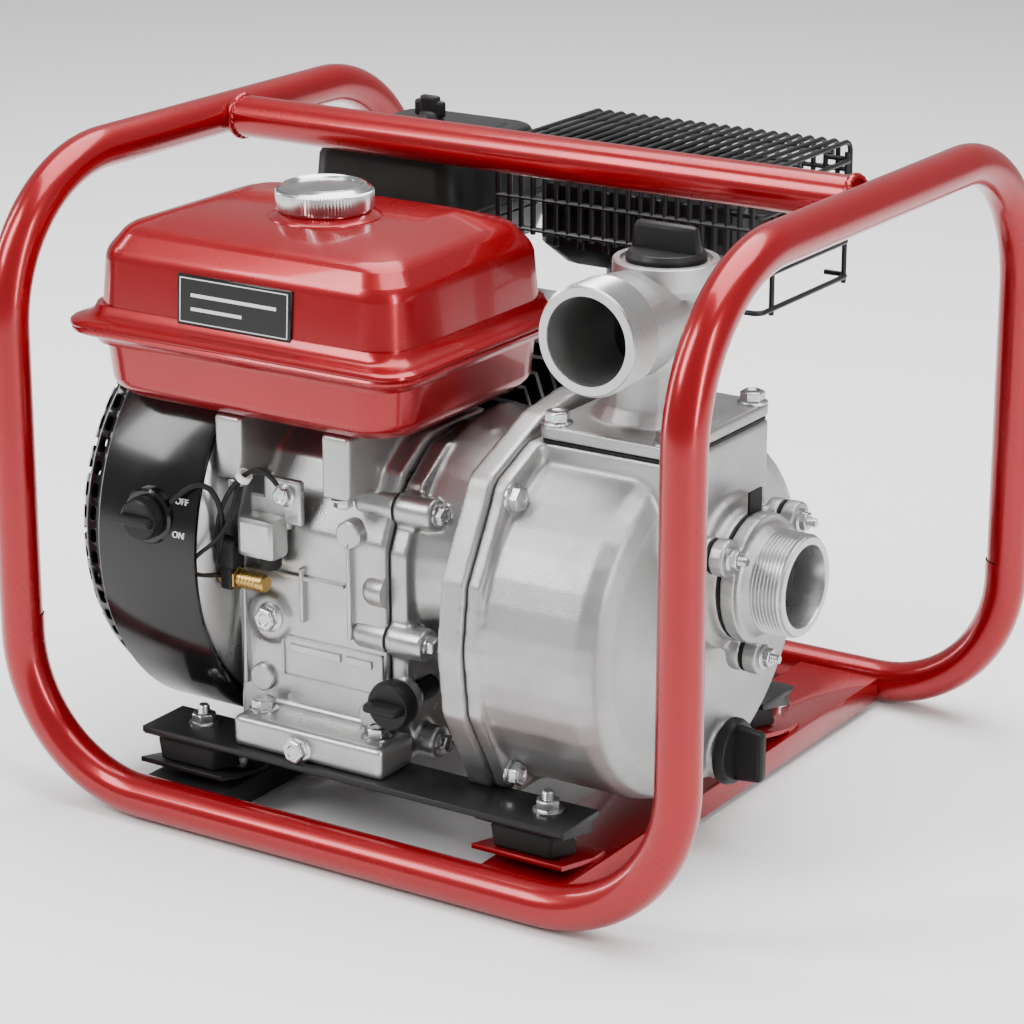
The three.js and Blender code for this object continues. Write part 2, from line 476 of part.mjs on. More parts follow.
node('fuel_lever', join(rodY(60, 66 - GAP, -136, 250, 5, 5, 14), box(-164, -133, 59, 62, 247, 253)), PLASTIC);
{
  const { x0, x1, y0, y1, z0, z1 } = EXHAUST;
  const outline = (i) => roundRect(x0 + i, x1 - i, y0 + i, y1 - i, 18, 3);
  let body = loftZ([{ z: z0, outline: outline(10) }, { z: z0 + 12, outline: outline(0) }, { z: z1 - 12, outline: outline(0) },
    { z: z1, outline: outline(10) }]);
  body = join(body, rodZ(252, z0 + 2, -10, 134, 13, 13, 20), rodX(x1 - 2, x1 + 10, 110, 332, 10, 10, 20));
  node('muffler', cut(body, rodX(x1 - 6, x1 + 12, 110, 332, 7, 7, 20)), PAINT_BLACK);
}
{
  const { x0, x1, y0, y1, z0, z1, wire } = GUARD;
  const bar = (a, b) => rod(a, b, wire, wire, 5);
  let top = join(bar(V(x0, y0, z1), V(x1, y0, z1)), bar(V(x0, y0 - 2, z1), V(x0, y1 + 2, z1)), bar(V(x1, y0 - 2, z1), V(x1, y1 + 2, z1)),
    bar(V(x0, y1, z1), V(x1, y1, z1)), bar(V(x0, (y0 + y1) / 2, z1), V(x1, (y0 + y1) / 2, z1)));
  for (let k = 1; k < 11; k++) {
    const x = x0 + ((x1 - x0) * k) / 11;
    top = join(top, bar(V(x, y0 - 1, z1 + 1), V(x, y1 + 1, z1 + 1)));
  }
  node('guard_top', top, PAINT_BLACK);
  const zt = z1 - 2 * wire - GAP;
  let front = join(bar(V(x0, y0, zt), V(x1, y0, zt)), bar(V(x0, y0, z0), V(x1, y0, z0)), bar(V(x0, y0, (zt + z0) / 2), V(x1, y0, (zt + z0) / 2)));
  for (let k = 0; k <= 11; k++) {
    const x = x0 + 2 + ((x1 - x0 - 4) * k) / 11;
    front = join(front, bar(V(x, y0 - 1, z0 - 2), V(x, y0 - 1, zt + 1)));
  }
  node('guard_front', front, PAINT_BLACK);
  let side = join(bar(V(x1, y0 + 3 * wire, zt), V(x1, y1, zt)), bar(V(x1, y0 + 3 * wire, z0), V(x1, y1, z0)));
  for (let k = 1; k <= 3; k++) {
    const z = z0 + ((zt - z0) * k) / 4;
    side = join(side, bar(V(x1, y0 + 3 * wire, z), V(x1, y1, z)));
  }
  side = join(side, bar(V(x1 + 1, y0 + 20, z0 - 2), V(x1 + 1, y0 + 20, zt + 1)), bar(V(x1 + 1, y1 - 3, z0 - 2), V(x1 + 1, y1 - 3, zt + 1)));
  node('guard_side', side, PAINT_BLACK);
}

// ---------------------------------------------------------------- small engine fittings
node('dipstick', join(rodY(-168, -156 - GAP, DIPSTICK.x, DIPSTICK.z, 14, 15, 24), box(DIPSTICK.x - 13, DIPSTICK.x + 13, -177, -167, DIPSTICK.z - 3, DIPSTICK.z + 3),
  rodY(-158, -122, DIPSTICK.x, DIPSTICK.z, 6, 6, 16)), PLASTIC);
node('sensor_box', join(box(-90, -62, -172, -152 - GAP, 163, 190), box(-76, -52, -158, -152 - GAP, 188, 212)), CAST);
node('brass_connector', join(rodX(-105, -74, -163, 146, 5, 5, 6), rodX(-98, -88, -163, 146, 7.5, 7.5, 6)), BRASS);
node('switch_wire', sweep(filleted([V(-122, -193.5, 186), V(-102, -193.5, 178), V(-102, -174, 166), V(-102, -168, 153)], 5, 3), 1.8, 8), RUBBER);
node('loom_wire', sweep(filleted([V(-64, -163, 211), V(-74, -170, 220), V(-60, -172, 232), V(-42, -168, 244)], 4, 3), 2.2, 8), RUBBER);

// ---------------------------------------------------------------- pump
/** Four-cornered flange whose sides bow outward between the corners. */
function flangeOutline(grow = 0) {
  const out = [];
  const c = FLANGE.corner + grow;
  const corner = 13;
  for (let q = 0; q < 4; q++) {
    const turn = q * 90 * DEG;
    const b = FLANGE.bulge[q] + grow;
    const pts = [[b, 0], [b - 5, c * 0.42], [c + corner * 0.3, c - corner], [c, c - corner * 0.3], [c - corner * 0.3, c], [c - corner, c + corner * 0.3], [c * 0.42, FLANGE.bulge[(q + 1) % 4] + grow - 5]];
    for (const [a, h] of pts) {
      out.push([DRUM.y + a * Math.cos(turn) - h * Math.sin(turn), DRUM.z + a * Math.sin(turn) + h * Math.cos(turn)]);
    }
  }
  return out;
}
{
  let body = join(cut(plateX(flangeOutline(), FLANGE.x0, FLANGE.mid), box(50, 100, -190, -140, 0, RAIL.top + GAP)), rodX(COVER.x1 + GAP, FLANGE.x0 + 1, AXIS.y, AXIS.z, 76, 84, 40));
  body = cut(body, rodX(COVER.x1 - 1, FLANGE.x0 - 2, AXIS.y, AXIS.z, 64), rodX(40, 80, AXIS.y, AXIS.z, 20.4, 20.4, 28));
  node('pump_bracket', body, CAST);
}
/** Three-lobed joint face of the suction port. */
function suctionFlange(x0, x1, grow) {
  let body = rodX(x0, x1, SUCTION.y, SUCTION.z, 38 + grow, 38 + grow, 28);
  for (const angle of SUCTION.bolts) {
    const [c, s] = [Math.cos(angle * DEG), Math.sin(angle * DEG)];
    body = join(body, rodX(x0, x1, SUCTION.y + SUCTION.pitch * c, SUCTION.z + SUCTION.pitch * s, 11 + grow, 11 + grow, 14));
  }
  return body;
}
node('mechanical_seal', turnX([[63, 12.6], [84, 12.6], [84, 17], [78, 20], [63, 20], [63, 12.6]], AXIS.y, AXIS.z, 28), STEEL);
{
  const xf = FLANGE.mid + GAP;
  const { y, z, r, wide, x1, wall } = DRUM;
  const outside = [[xf + 1, 0], [xf + 1, r], [x1 - 15, r], [x1 - 5, r - 4], [x1, r - 13], [x1, 0]];
  const inside = [[xf - 1, 0], [xf - 1, r - wall], [x1 - 18, r - wall], [x1 - wall - 3, r - wall - 5], [x1 - wall, r - wall - 11], [x1 - wall, 0]];
  let body = join(
    cut(plateX(flangeOutline(-2), xf, FLANGE.x1), box(50, 100, -190, -140, 0, RAIL.top + GAP)),
    turnX(outside, y, z, 44, wide),
    box(PORT.x0 + 6, PORT.x1 - 1, PORT.y0 + 1, PORT.y1 - 1, 196, PORT.z0 - 2),
    rodX(150, SUCTION.seat - 8, SUCTION.y, SUCTION.z, 50, 44, 32), suctionFlange(SUCTION.seat - 9, SUCTION.seat, 0),
    rodX(146, x1 + 4, DRAIN.y, DRAIN.z, DRAIN.r, DRAIN.r, 28),
  );
  body = cut(body, box(xf - 1, x1 + 2, PORT.y0 - GAP, PORT.y1 + GAP, PORT.z0 - 2, 300), turnX(inside, y, z, 44, wide),
    box(PORT.x0 + 13, x1 - wall, PORT.y0 + 9, PORT.y1 - 9, 190, PORT.z0 + 1),
    rodX(140, 200, SUCTION.y, SUCTION.z, SUCTION.bore), rodX(140, 180, DRAIN.y, DRAIN.z, 9.3, 9.3, 20));
  node('pump_casing', body, CAST);
}
{
  const rv = 74;
  const x0 = FLANGE.mid + GAP;
  node('volute', turnX([[x0, 68], [x0, rv], [116, rv - 4], [118, 60], [118, 26], [113, 26], [112, 66], [100, 68], [x0, 68]], AXIS.y, AXIS.z, 40), CAST);
  let body = turnX([[85, 12.4], [108, 12.4], [108, 17], [98, 20], [96, 60], [92, 60], [91, 20], [85, 18], [85, 12.4]], AXIS.y, AXIS.z, 36);
  for (let k = 0; k < 5; k++) {
    const a = k * 72 * DEG;
    const at = (rr, da) => [AXIS.y + rr * Math.cos(a + da), AXIS.z + rr * Math.sin(a + da)];
    body = join(body, plateX([at(16, 0), at(32, 0.35), at(46, 0.62), at(59, 0.8), at(59, 0.87), at(46, 0.71), at(32, 0.48), at(16, 0.25)], 94, 109));
  }
  node('impeller', body, CAST);
}
{
  const { x, y, r, zOut, yOut, outR, outBore } = COLUMN;
  const ball = (rr) => solid(new THREE.SphereGeometry(rr, 20, 12).translate(x, y, zOut));
  let body = join(plateZ(roundRect(PORT.x0, PORT.x1, PORT.y0, PORT.y1, 6, 3), PORT.z0, PORT.z1),
    rodZ(PORT.z1 - 1, 266, x, y, r + 6, r), rodZ(264, zOut, x, y, r, 29), ball(29),
    rodY(yOut, yOut + 40, x, zOut, outR, outR, 32), rodY(yOut + 39, y, x, zOut, outR, 26, 32),
    rodZ(zOut, PRIME.top - 7, PRIME.x, PRIME.y, PRIME.r - 2), rodZ(PRIME.top - 8, PRIME.top, PRIME.x, PRIME.y, PRIME.r));
  body = cut(body, rodZ(PORT.z0 - 1, zOut, x, y, 24), ball(24), rodY(yOut - 1, y, x, zOut, outBore, 22, 32),
    rodZ(zOut, PRIME.top + 1, PRIME.x, PRIME.y, 18.3));
  node('discharge_elbow', body, CAST);
}
node('top_gasket', cut(plateZ(roundRect(PORT.x0 + 1, PORT.x1 - 1, PORT.y0 + 1, PORT.y1 - 1, 6, 3), PORT.z0 - 2 + GAP, PORT.z0 - GAP),
  box(PORT.x0 + 13, DRUM.x1 - DRUM.wall, PORT.y0 + 9, PORT.y1 - 9, 230, 260)), RUBBER);
node('priming_plug', join(rodZ(PRIME.top - 16, PRIME.top + 2, PRIME.x, PRIME.y, 18, 18, 28), rodZ(PRIME.top + GAP, PRIME.top + 6, PRIME.x, PRIME.y, 23, 21, 32),
  box(PRIME.x - 22, PRIME.x + 22, PRIME.y - 4, PRIME.y + 4, PRIME.top + 5, PRIME.top + 21)), PLASTIC);
{
  const { seat, y, z, bore, r, x1 } = SUCTION;
  node('suction_gasket', cut(join(suctionFlange(seat + GAP, seat + 1.8, -0.5), box(seat + GAP, seat + 1.8, y - 3, y + 11, z + 30, z + 50)),
    rodX(seat - 1, seat + 3, y, z, bore)), RUBBER);
  node('suction_nozzle', cut(join(suctionFlange(seat + 2.1, seat + 11, 0), rodX(seat + 10, seat + 16, y, z, 34, 30, 32), rodX(seat + 15, x1, y, z, r, r, 32)),
    rodX(seat, x1 + 2, y, z, bore, bore, 32)), CAST);
}
node('check_flap', join(rodX(152.4, 155.4, SUCTION.y, SUCTION.z, 28, 28, 28), box(151.4, 155.6, SUCTION.y - 8, SUCTION.y + 8, SUCTION.z + 24, SUCTION.z + 32)), RUBBER);
node('drain_plug', join(rodX(156, 168, DRAIN.y, DRAIN.z, 8.9, 8.9, 20), rodX(DRUM.x1 + 4 + GAP, 173, DRAIN.y, DRAIN.z, 20, 18.5, 28),
  box(172, 190, DRAIN.y - 5, DRAIN.y + 5, DRAIN.z - 17, DRAIN.z + 17)), PLASTIC);

export default group;
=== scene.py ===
"""Petrol-engine water pump in a red carry frame: the visible model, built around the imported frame."""
import logging
import math
from dataclasses import dataclass
from enum import Enum

import bpy
from mathutils import Matrix, Vector


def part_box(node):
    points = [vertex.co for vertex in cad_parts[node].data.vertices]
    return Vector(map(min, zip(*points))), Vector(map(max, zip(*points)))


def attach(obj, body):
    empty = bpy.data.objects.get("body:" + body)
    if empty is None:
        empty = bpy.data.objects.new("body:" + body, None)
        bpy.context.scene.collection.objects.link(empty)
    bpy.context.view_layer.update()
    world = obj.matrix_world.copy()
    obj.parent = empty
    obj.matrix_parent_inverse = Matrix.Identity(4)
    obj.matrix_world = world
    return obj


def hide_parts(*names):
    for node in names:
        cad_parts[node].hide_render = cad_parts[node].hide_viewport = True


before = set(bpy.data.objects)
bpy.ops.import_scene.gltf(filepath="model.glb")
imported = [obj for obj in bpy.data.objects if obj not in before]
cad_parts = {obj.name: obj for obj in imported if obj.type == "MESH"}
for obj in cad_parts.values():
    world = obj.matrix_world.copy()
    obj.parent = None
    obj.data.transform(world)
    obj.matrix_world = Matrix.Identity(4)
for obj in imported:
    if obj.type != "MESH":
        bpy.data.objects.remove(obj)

MM = 0.001
SAME_POINT = 1e-6  # metres: points closer than this are one point
X, Y, Z = Vector((1, 0, 0)), Vector((0, 1, 0)), Vector((0, 0, 1))
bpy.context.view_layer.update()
log = logging.getLogger("water_pump")

Object = bpy.types.Object
Profile = list[tuple[float, float]]


# ------------------------------------------------------------------ shared shader effects
class Effects:
    """Node groups that several finishes share."""

    @staticmethod
    def _tree(name: str, inputs: dict[str, float], outputs: tuple[str, ...]) -> tuple:
        """Makes an empty node group with float sockets.

        Args:
            name: the group's name.
            inputs: each input's name and default value.
            outputs: the outputs' names.

        Returns:
            The tree, its input node and its output node.
        """
        tree = bpy.data.node_groups.new(name, "ShaderNodeTree")
        for key, value in inputs.items():
            socket = tree.interface.new_socket(key, in_out="INPUT", socket_type="NodeSocketFloat")
            socket.default_value = value
        for key in outputs:
            tree.interface.new_socket(key, in_out="OUTPUT", socket_type="NodeSocketFloat")
        return tree, tree.nodes.new("NodeGroupInput"), tree.nodes.new("NodeGroupOutput")

    @classmethod
    def grain(cls) -> bpy.types.NodeTree:
        """Fine and broad noise over the surface.

        Returns:
            A group that puts out Fine, Broad and a combined Height.
        """
        if "surface_grain" in bpy.data.node_groups:
            return bpy.data.node_groups["surface_grain"]
        tree, inside, outside = cls._tree("surface_grain", {"Scale": 800.0, "Broad Scale": 30.0},
                                          ("Fine", "Broad", "Height"))
        place = tree.nodes.new("ShaderNodeTexCoord")
        fine, broad = tree.nodes.new("ShaderNodeTexNoise"), tree.nodes.new("ShaderNodeTexNoise")
        fine.inputs["Detail"].default_value, broad.inputs["Detail"].default_value = 3.0, 4.0
        mix = tree.nodes.new("ShaderNodeMath")
        mix.operation = "MULTIPLY_ADD"
        mix.inputs[1].default_value = 0.5
        link = tree.links.new
        for noise, key in ((fine, "Scale"), (broad, "Broad Scale")):
            link(place.outputs["Object"], noise.inputs["Vector"])
            link(inside.outputs[key], noise.inputs["Scale"])
        link(broad.outputs["Fac"], mix.inputs[0])
        link(fine.outputs["Fac"], mix.inputs[2])
        link(fine.outputs["Fac"], outside.inputs["Fine"])
        link(broad.outputs["Fac"], outside.inputs["Broad"])
        link(mix.outputs[0], outside.inputs["Height"])
        return tree

    @classmethod
    def wear_and_shade(cls) -> bpy.types.NodeTree:
        """Rubbed edges and painted shade in hollows, both from the surface's own curvature.

        Returns:
            A group that puts out an Edge mask for rubbed edges and a Hollow mask for painted shade.
        """
        if "edge_wear_and_hollow_shade" in bpy.data.node_groups:
            return bpy.data.node_groups["edge_wear_and_hollow_shade"]
        tree, inside, outside = cls._tree("edge_wear_and_hollow_shade", {"Edge": 0.5, "Hollow": 0.5, "Breakup": 90.0},
                                          ("Edge", "Hollow"))
        place, noise = tree.nodes.new("ShaderNodeTexCoord"), tree.nodes.new("ShaderNodeTexNoise")
        shape = tree.nodes.new("ShaderNodeNewGeometry")
        link = tree.links.new
        link(place.outputs["Object"], noise.inputs["Vector"])
        link(inside.outputs["Breakup"], noise.inputs["Scale"])
        # Edge marks rubbed convex edges; Hollow marks concave spots that get painted shade.
        for key, low, high in (("Edge", 0.53, 0.62), ("Hollow", 0.48, 0.38)):
            ramp, broken, scaled = (tree.nodes.new("ShaderNodeMapRange"), tree.nodes.new("ShaderNodeMath"),
                                    tree.nodes.new("ShaderNodeMath"))
            ramp.inputs["From Min"].default_value, ramp.inputs["From Max"].default_value = low, high
            broken.operation = scaled.operation = "MULTIPLY"
            link(shape.outputs["Pointiness"], ramp.inputs["Value"])
            link(ramp.outputs["Result"], broken.inputs[0])
            link(noise.outputs["Fac"], broken.inputs[1])
            link(broken.outputs[0], scaled.inputs[0])
            link(inside.outputs[key], scaled.inputs[1])
            link(scaled.outputs[0], outside.inputs[key])
        return tree

    @classmethod
    def dust(cls) -> bpy.types.NodeTree:
        """Thin dust on faces that look up.

        Returns:
            A group that puts out a Mask.
        """
        if "settled_dust" in bpy.data.node_groups:
            return bpy.data.node_groups["settled_dust"]
        tree, inside, outside = cls._tree("settled_dust", {"Amount": 0.1}, ("Mask",))
        place, noise = tree.nodes.new("ShaderNodeTexCoord"), tree.nodes.new("ShaderNodeTexNoise")
        noise.inputs["Scale"].default_value, noise.inputs["Detail"].default_value = 45.0, 6.0
        shape, split = tree.nodes.new("ShaderNodeNewGeometry"), tree.nodes.new("ShaderNodeSeparateXYZ")
        up, patchy, scaled = (tree.nodes.new("ShaderNodeMapRange"), tree.nodes.new("ShaderNodeMath"),
                              tree.nodes.new("ShaderNodeMath"))
        patchy.operation = scaled.operation = "MULTIPLY"
        link = tree.links.new
        link(place.outputs["Object"], noise.inputs["Vector"])
        link(shape.outputs["Normal"], split.inputs[0])
        link(split.outputs["Z"], up.inputs["Value"])
        link(up.outputs["Result"], patchy.inputs[0])
        link(noise.outputs["Fac"], patchy.inputs[1])
        link(patchy.outputs[0], scaled.inputs[0])
        link(inside.outputs["Amount"], scaled.inputs[1])
        link(scaled.outputs[0], outside.inputs["Mask"])
        return tree


Colour = tuple[float, float, float]


@dataclass(frozen=True)
class Finish:
    """One real surface finish: its colours, gloss, grain and wear, plus painted shade in hollows."""

    name: str
    slot: str
    colour: Colour
    second: Colour
    metallic: float
    rough: float
    spread: float
    grain: float
    depth_mm: float
    broad: float = 30.0
    coat: float = 0.0
    edge: float = 0.0
    # hollow: how strongly hollows are darkened with painted shade.
    hollow: float = 0.0
    dust: float = 0.0
    rub: Colour = (0.75, 0.75, 0.74)
    shine: float = 0.5

    def material(self) -> bpy.types.Material:
        """Builds the material once and hands the same one out afterwards.

        Returns:
            The Blender material.
        """
        if self.name in bpy.data.materials:
            return bpy.data.materials[self.name]
        made = bpy.data.materials.new(self.name)
        made.use_nodes = True
        made.diffuse_color = (*self.colour, 1.0)
        nodes, link = made.node_tree.nodes, made.node_tree.links.new
        shader = nodes["Principled BSDF"]
        shader.inputs["Metallic"].default_value = self.metallic
        shader.inputs["Specular IOR Level"].default_value = self.shine
        shader.inputs["Coat Weight"].default_value = self.coat
        shader.inputs["Coat Roughness"].default_value = 0.05
        grain = self._group(nodes, Effects.grain(), {"Scale": self.grain, "Broad Scale": self.broad})
        colour = self._mix(made, grain.outputs["Broad"], self.colour, self.second)
        if self.edge or self.hollow:
            wear_and_shade = self._group(nodes, Effects.wear_and_shade(), {"Edge": self.edge, "Hollow": self.hollow})
            colour = self._mix(made, wear_and_shade.outputs["Edge"], colour, self.rub)
            # Painted shade: hollows darken towards a quarter of the colour, where shade falls.
            painted_shade = tuple(c * 0.25 for c in self.colour)
            colour = self._mix(made, wear_and_shade.outputs["Hollow"], colour, painted_shade)
        if self.dust:
            dust = self._group(nodes, Effects.dust(), {"Amount": self.dust})
            colour = self._mix(made, dust.outputs["Mask"], colour, (0.5, 0.47, 0.43))
        link(colour, shader.inputs["Base Color"])
        gloss = nodes.new("ShaderNodeMapRange")
        gloss.inputs["From Min"].default_value, gloss.inputs["From Max"].default_value = 0.3, 0.7
        gloss.inputs["To Min"].default_value = self.rough - self.spread
        gloss.inputs["To Max"].default_value = self.rough + self.spread
        link(grain.outputs["Broad"], gloss.inputs["Value"])
        link(gloss.outputs["Result"], shader.inputs["Roughness"])
        bump = nodes.new("ShaderNodeBump")
        bump.inputs["Distance"].default_value = self.depth_mm * MM
        link(grain.outputs["Height"], bump.inputs["Height"])
        link(bump.outputs["Normal"], shader.inputs["Normal"])
        return made

    @staticmethod
    def _group(nodes: bpy.types.Nodes, tree: bpy.types.NodeTree, values: dict[str, float]) -> bpy.types.Node:
        """Places a shared effect and sets its values."""
        node = nodes.new("ShaderNodeGroup")
        node.node_tree = tree
        for key, value in values.items():
            node.inputs[key].default_value = value
        return node

    @staticmethod
    def _mix(made: bpy.types.Material, mask: bpy.types.NodeSocket, first: Colour | bpy.types.NodeSocket,
             second: Colour) -> bpy.types.NodeSocket:
        """Mixes a colour or a socket with a second colour by a mask."""
        node = made.node_tree.nodes.new("ShaderNodeMix")
        node.data_type = "RGBA"
        made.node_tree.links.new(mask, node.inputs["Factor"])
        if isinstance(first, bpy.types.NodeSocket):
            made.node_tree.links.new(first, node.inputs["A"])
        else:
            node.inputs["A"].default_value = (*first, 1.0)
        node.inputs["B"].default_value = (*second, 1.0)
        return node.outputs["Result"]


RED = Finish("red_gloss_paint", "red_paint", (0.30, 0.0, 0.005), (0.25, 0.0, 0.004),
             metallic=0.50, rough=0.27, spread=0.05, grain=420.0, depth_mm=0.012, broad=12.0, coat=0.35)
BLACK_PAINT = Finish("black_satin_paint", "black_paint", (0.007, 0.007, 0.0075), (0.012, 0.012, 0.013),
                     metallic=0.0, rough=0.36, spread=0.10, grain=700.0, depth_mm=0.05, broad=40.0, coat=0.1,
                     dust=0.02, shine=0.2)
# The aluminium finishes below darken their hollows with painted shade (hollow=).
CAST = Finish("sand_cast_aluminium", "cast_aluminium", (0.42, 0.42, 0.415), (0.34, 0.34, 0.335),
              metallic=0.9, rough=0.38, spread=0.07, grain=1500.0, depth_mm=0.22, broad=28.0,
              edge=0.45, hollow=0.8)
DIE_CAST = Finish("die_cast_aluminium", "cast_aluminium", (0.44, 0.44, 0.435), (0.34, 0.34, 0.335),
                  metallic=0.9, rough=0.33, spread=0.07, grain=1100.0, depth_mm=0.12, broad=35.0,
                  edge=0.45, hollow=0.9)
MACHINED = Finish("machined_aluminium", "cast_aluminium", (0.52, 0.52, 0.515), (0.43, 0.43, 0.43),
                  metallic=0.9, rough=0.27, spread=0.06, grain=1400.0, depth_mm=0.03, edge=0.3, hollow=0.9)
ZINC = Finish("zinc_plate", "steel", (0.56, 0.57, 0.58), (0.42, 0.44, 0.45),
              metallic=0.95, rough=0.24, spread=0.08, grain=900.0, depth_mm=0.03, broad=160.0)
STEEL = Finish("ground_steel", "steel", (0.42, 0.43, 0.44), (0.33, 0.34, 0.35),
               metallic=0.95, rough=0.32, spread=0.08, grain=900.0, depth_mm=0.03)
CHROME = Finish("brushed_chrome", "chrome", (0.62, 0.62, 0.62), (0.50, 0.50, 0.51),
                metallic=1.0, rough=0.19, spread=0.06, grain=1200.0, depth_mm=0.02, broad=90.0)
PLASTIC = Finish("moulded_black_plastic", "black_plastic", (0.008, 0.008, 0.008), (0.013, 0.013, 0.013),
                 metallic=0.0, rough=0.42, spread=0.08, grain=1600.0, depth_mm=0.06, broad=50.0,
                 dust=0.015, shine=0.2)
GLOSS = Finish("gloss_black_plastic", "gloss_plastic", (0.003, 0.003, 0.0035), (0.006, 0.006, 0.0065),
               metallic=0.0, rough=0.17, spread=0.05, grain=500.0, depth_mm=0.01, broad=25.0, coat=0.1,
               shine=0.35)
RUBBER = Finish("black_rubber", "rubber", (0.008, 0.008, 0.008), (0.014, 0.014, 0.013),
                metallic=0.0, rough=0.62, spread=0.10, grain=900.0, depth_mm=0.08, broad=60.0,
                dust=0.02, shine=0.2)
BRASS = Finish("turned_brass", "brass", (0.52, 0.34, 0.10), (0.40, 0.26, 0.08),
               metallic=0.95, rough=0.28, spread=0.08, grain=900.0, depth_mm=0.03)
PAPER = Finish("filter_paper", "filter", (0.55, 0.45, 0.28), (0.46, 0.37, 0.22),
               metallic=0.0, rough=0.85, spread=0.05, grain=1200.0, depth_mm=0.1)
NYLON = Finish("white_nylon", "black_plastic", (0.72, 0.72, 0.68), (0.64, 0.64, 0.60),
               metallic=0.0, rough=0.45, spread=0.05, grain=900.0, depth_mm=0.02)
PRINT = Finish("white_print", "gloss_plastic", (0.70, 0.70, 0.70), (0.60, 0.60, 0.60),
               metallic=0.0, rough=0.45, spread=0.05, grain=900.0, depth_mm=0.01)


# ------------------------------------------------------------------ modelling by hand, step by step
def pick(*pieces: Object) -> None:
    """Selects only these pieces and makes the first one active."""
    bpy.ops.object.select_all(action="DESELECT")
    for piece in pieces:
        piece.select_set(True)
    bpy.context.view_layer.objects.active = pieces[0]


def settle(piece: Object, angle: float = 32.0) -> Object:
    """Puts a piece's place into its mesh, turns its faces outward and shades it.

    Args:
        piece: the finished mesh object.
        angle: edges sharper than this many degrees stay crisp.

    Returns:
        The same piece.
    """
    pick(piece)
    bpy.ops.object.transform_apply(location=True, rotation=True, scale=True)
    bpy.ops.object.mode_set(mode="EDIT")
    bpy.ops.mesh.select_all(action="SELECT")
    bpy.ops.mesh.normals_make_consistent(inside=False)
    bpy.ops.object.mode_set(mode="OBJECT")
    bpy.ops.object.shade_smooth_by_angle(angle=math.radians(angle))
    return piece


def modify(piece: Object, kind: str, **settings: object) -> Object:
    """Adds one modifier and applies it."""
    pick(piece)
    step = piece.modifiers.new(kind.title(), kind)
    for key, value in settings.items():
        setattr(step, key, value)
    bpy.ops.object.modifier_apply(modifier=step.name)
    return piece


def rounded(piece: Object, width_mm: float, segments: int = 2, angle: float = 32.0) -> Object:
    """Rounds a piece's sharp edges and shades it again."""
    modify(piece, "BEVEL", width=width_mm * MM, segments=segments, limit_method="ANGLE",
           angle_limit=math.radians(28), use_clamp_overlap=True)
    return settle(piece, angle)


def turned(name: str, profile: Profile, centre: Vector, along: Vector, sides: int = 48) -> Object:
    """Raises and resizes a disc step by step, as on a lathe.

    Args:
        name: the new piece's name.
        profile: pairs of distance along the axis and radius, in millimetres.
        centre: the zero point of the axis, in metres.
        along: the axis direction.
        sides: how many sides the disc has.

    Returns:
        The closed solid.
    """
    bpy.ops.object.select_all(action="DESELECT")
    here, radius = profile[0]
    bpy.ops.mesh.primitive_circle_add(vertices=sides, radius=radius * MM, fill_type="NGON",
                                      location=centre + along * here * MM,
                                      rotation=along.to_track_quat("Z", "Y").to_euler())
    piece = bpy.context.active_object
    piece.name = name
    bpy.ops.object.mode_set(mode="EDIT")
    bpy.ops.mesh.select_all(action="SELECT")
    for there, wanted in profile[1:]:
        bpy.ops.mesh.extrude_region_move(TRANSFORM_OT_translate={"value": along * (there - here) * MM})
        if abs(wanted - radius) > 1e-6:
            bpy.ops.transform.resize(value=(wanted / radius,) * 3,
                                     center_override=centre + along * there * MM)
        here, radius = there, wanted
    bpy.ops.object.mode_set(mode="OBJECT")
    return settle(piece)


def opened(piece: Object, faces: list[int], reach: float) -> Object:
    """Takes some faces out and closes the seam by merging what lies on top of each other.

    Args:
        piece: the mesh object.
        faces: indices of the faces to take out.
        reach: how far apart merged points may lie, in metres.

    Returns:
        The same piece.
    """
    pick(piece)
    bpy.ops.object.mode_set(mode="EDIT")
    bpy.ops.mesh.select_mode(type="FACE")
    bpy.ops.mesh.select_all(action="DESELECT")
    bpy.ops.object.mode_set(mode="OBJECT")
    for index in faces:
        piece.data.polygons[index].select = True
    bpy.ops.object.mode_set(mode="EDIT")
    bpy.ops.mesh.delete(type="FACE")
    bpy.ops.mesh.select_mode(type="VERT")
    bpy.ops.mesh.select_all(action="SELECT")
    bpy.ops.mesh.remove_doubles(threshold=reach)
    bpy.ops.object.mode_set(mode="OBJECT")
    return piece


def ring(name: str, profile: Profile, centre: Vector, along: Vector, sides: int = 48) -> Object:
    """A turned ring: the profile ends where it began, so its two end discs are taken out."""
    piece = turned(name, profile, centre, along, sides)
    ends = [face.index for face in piece.data.polygons if len(face.vertices) == sides]
    return settle(opened(piece, ends, SAME_POINT))


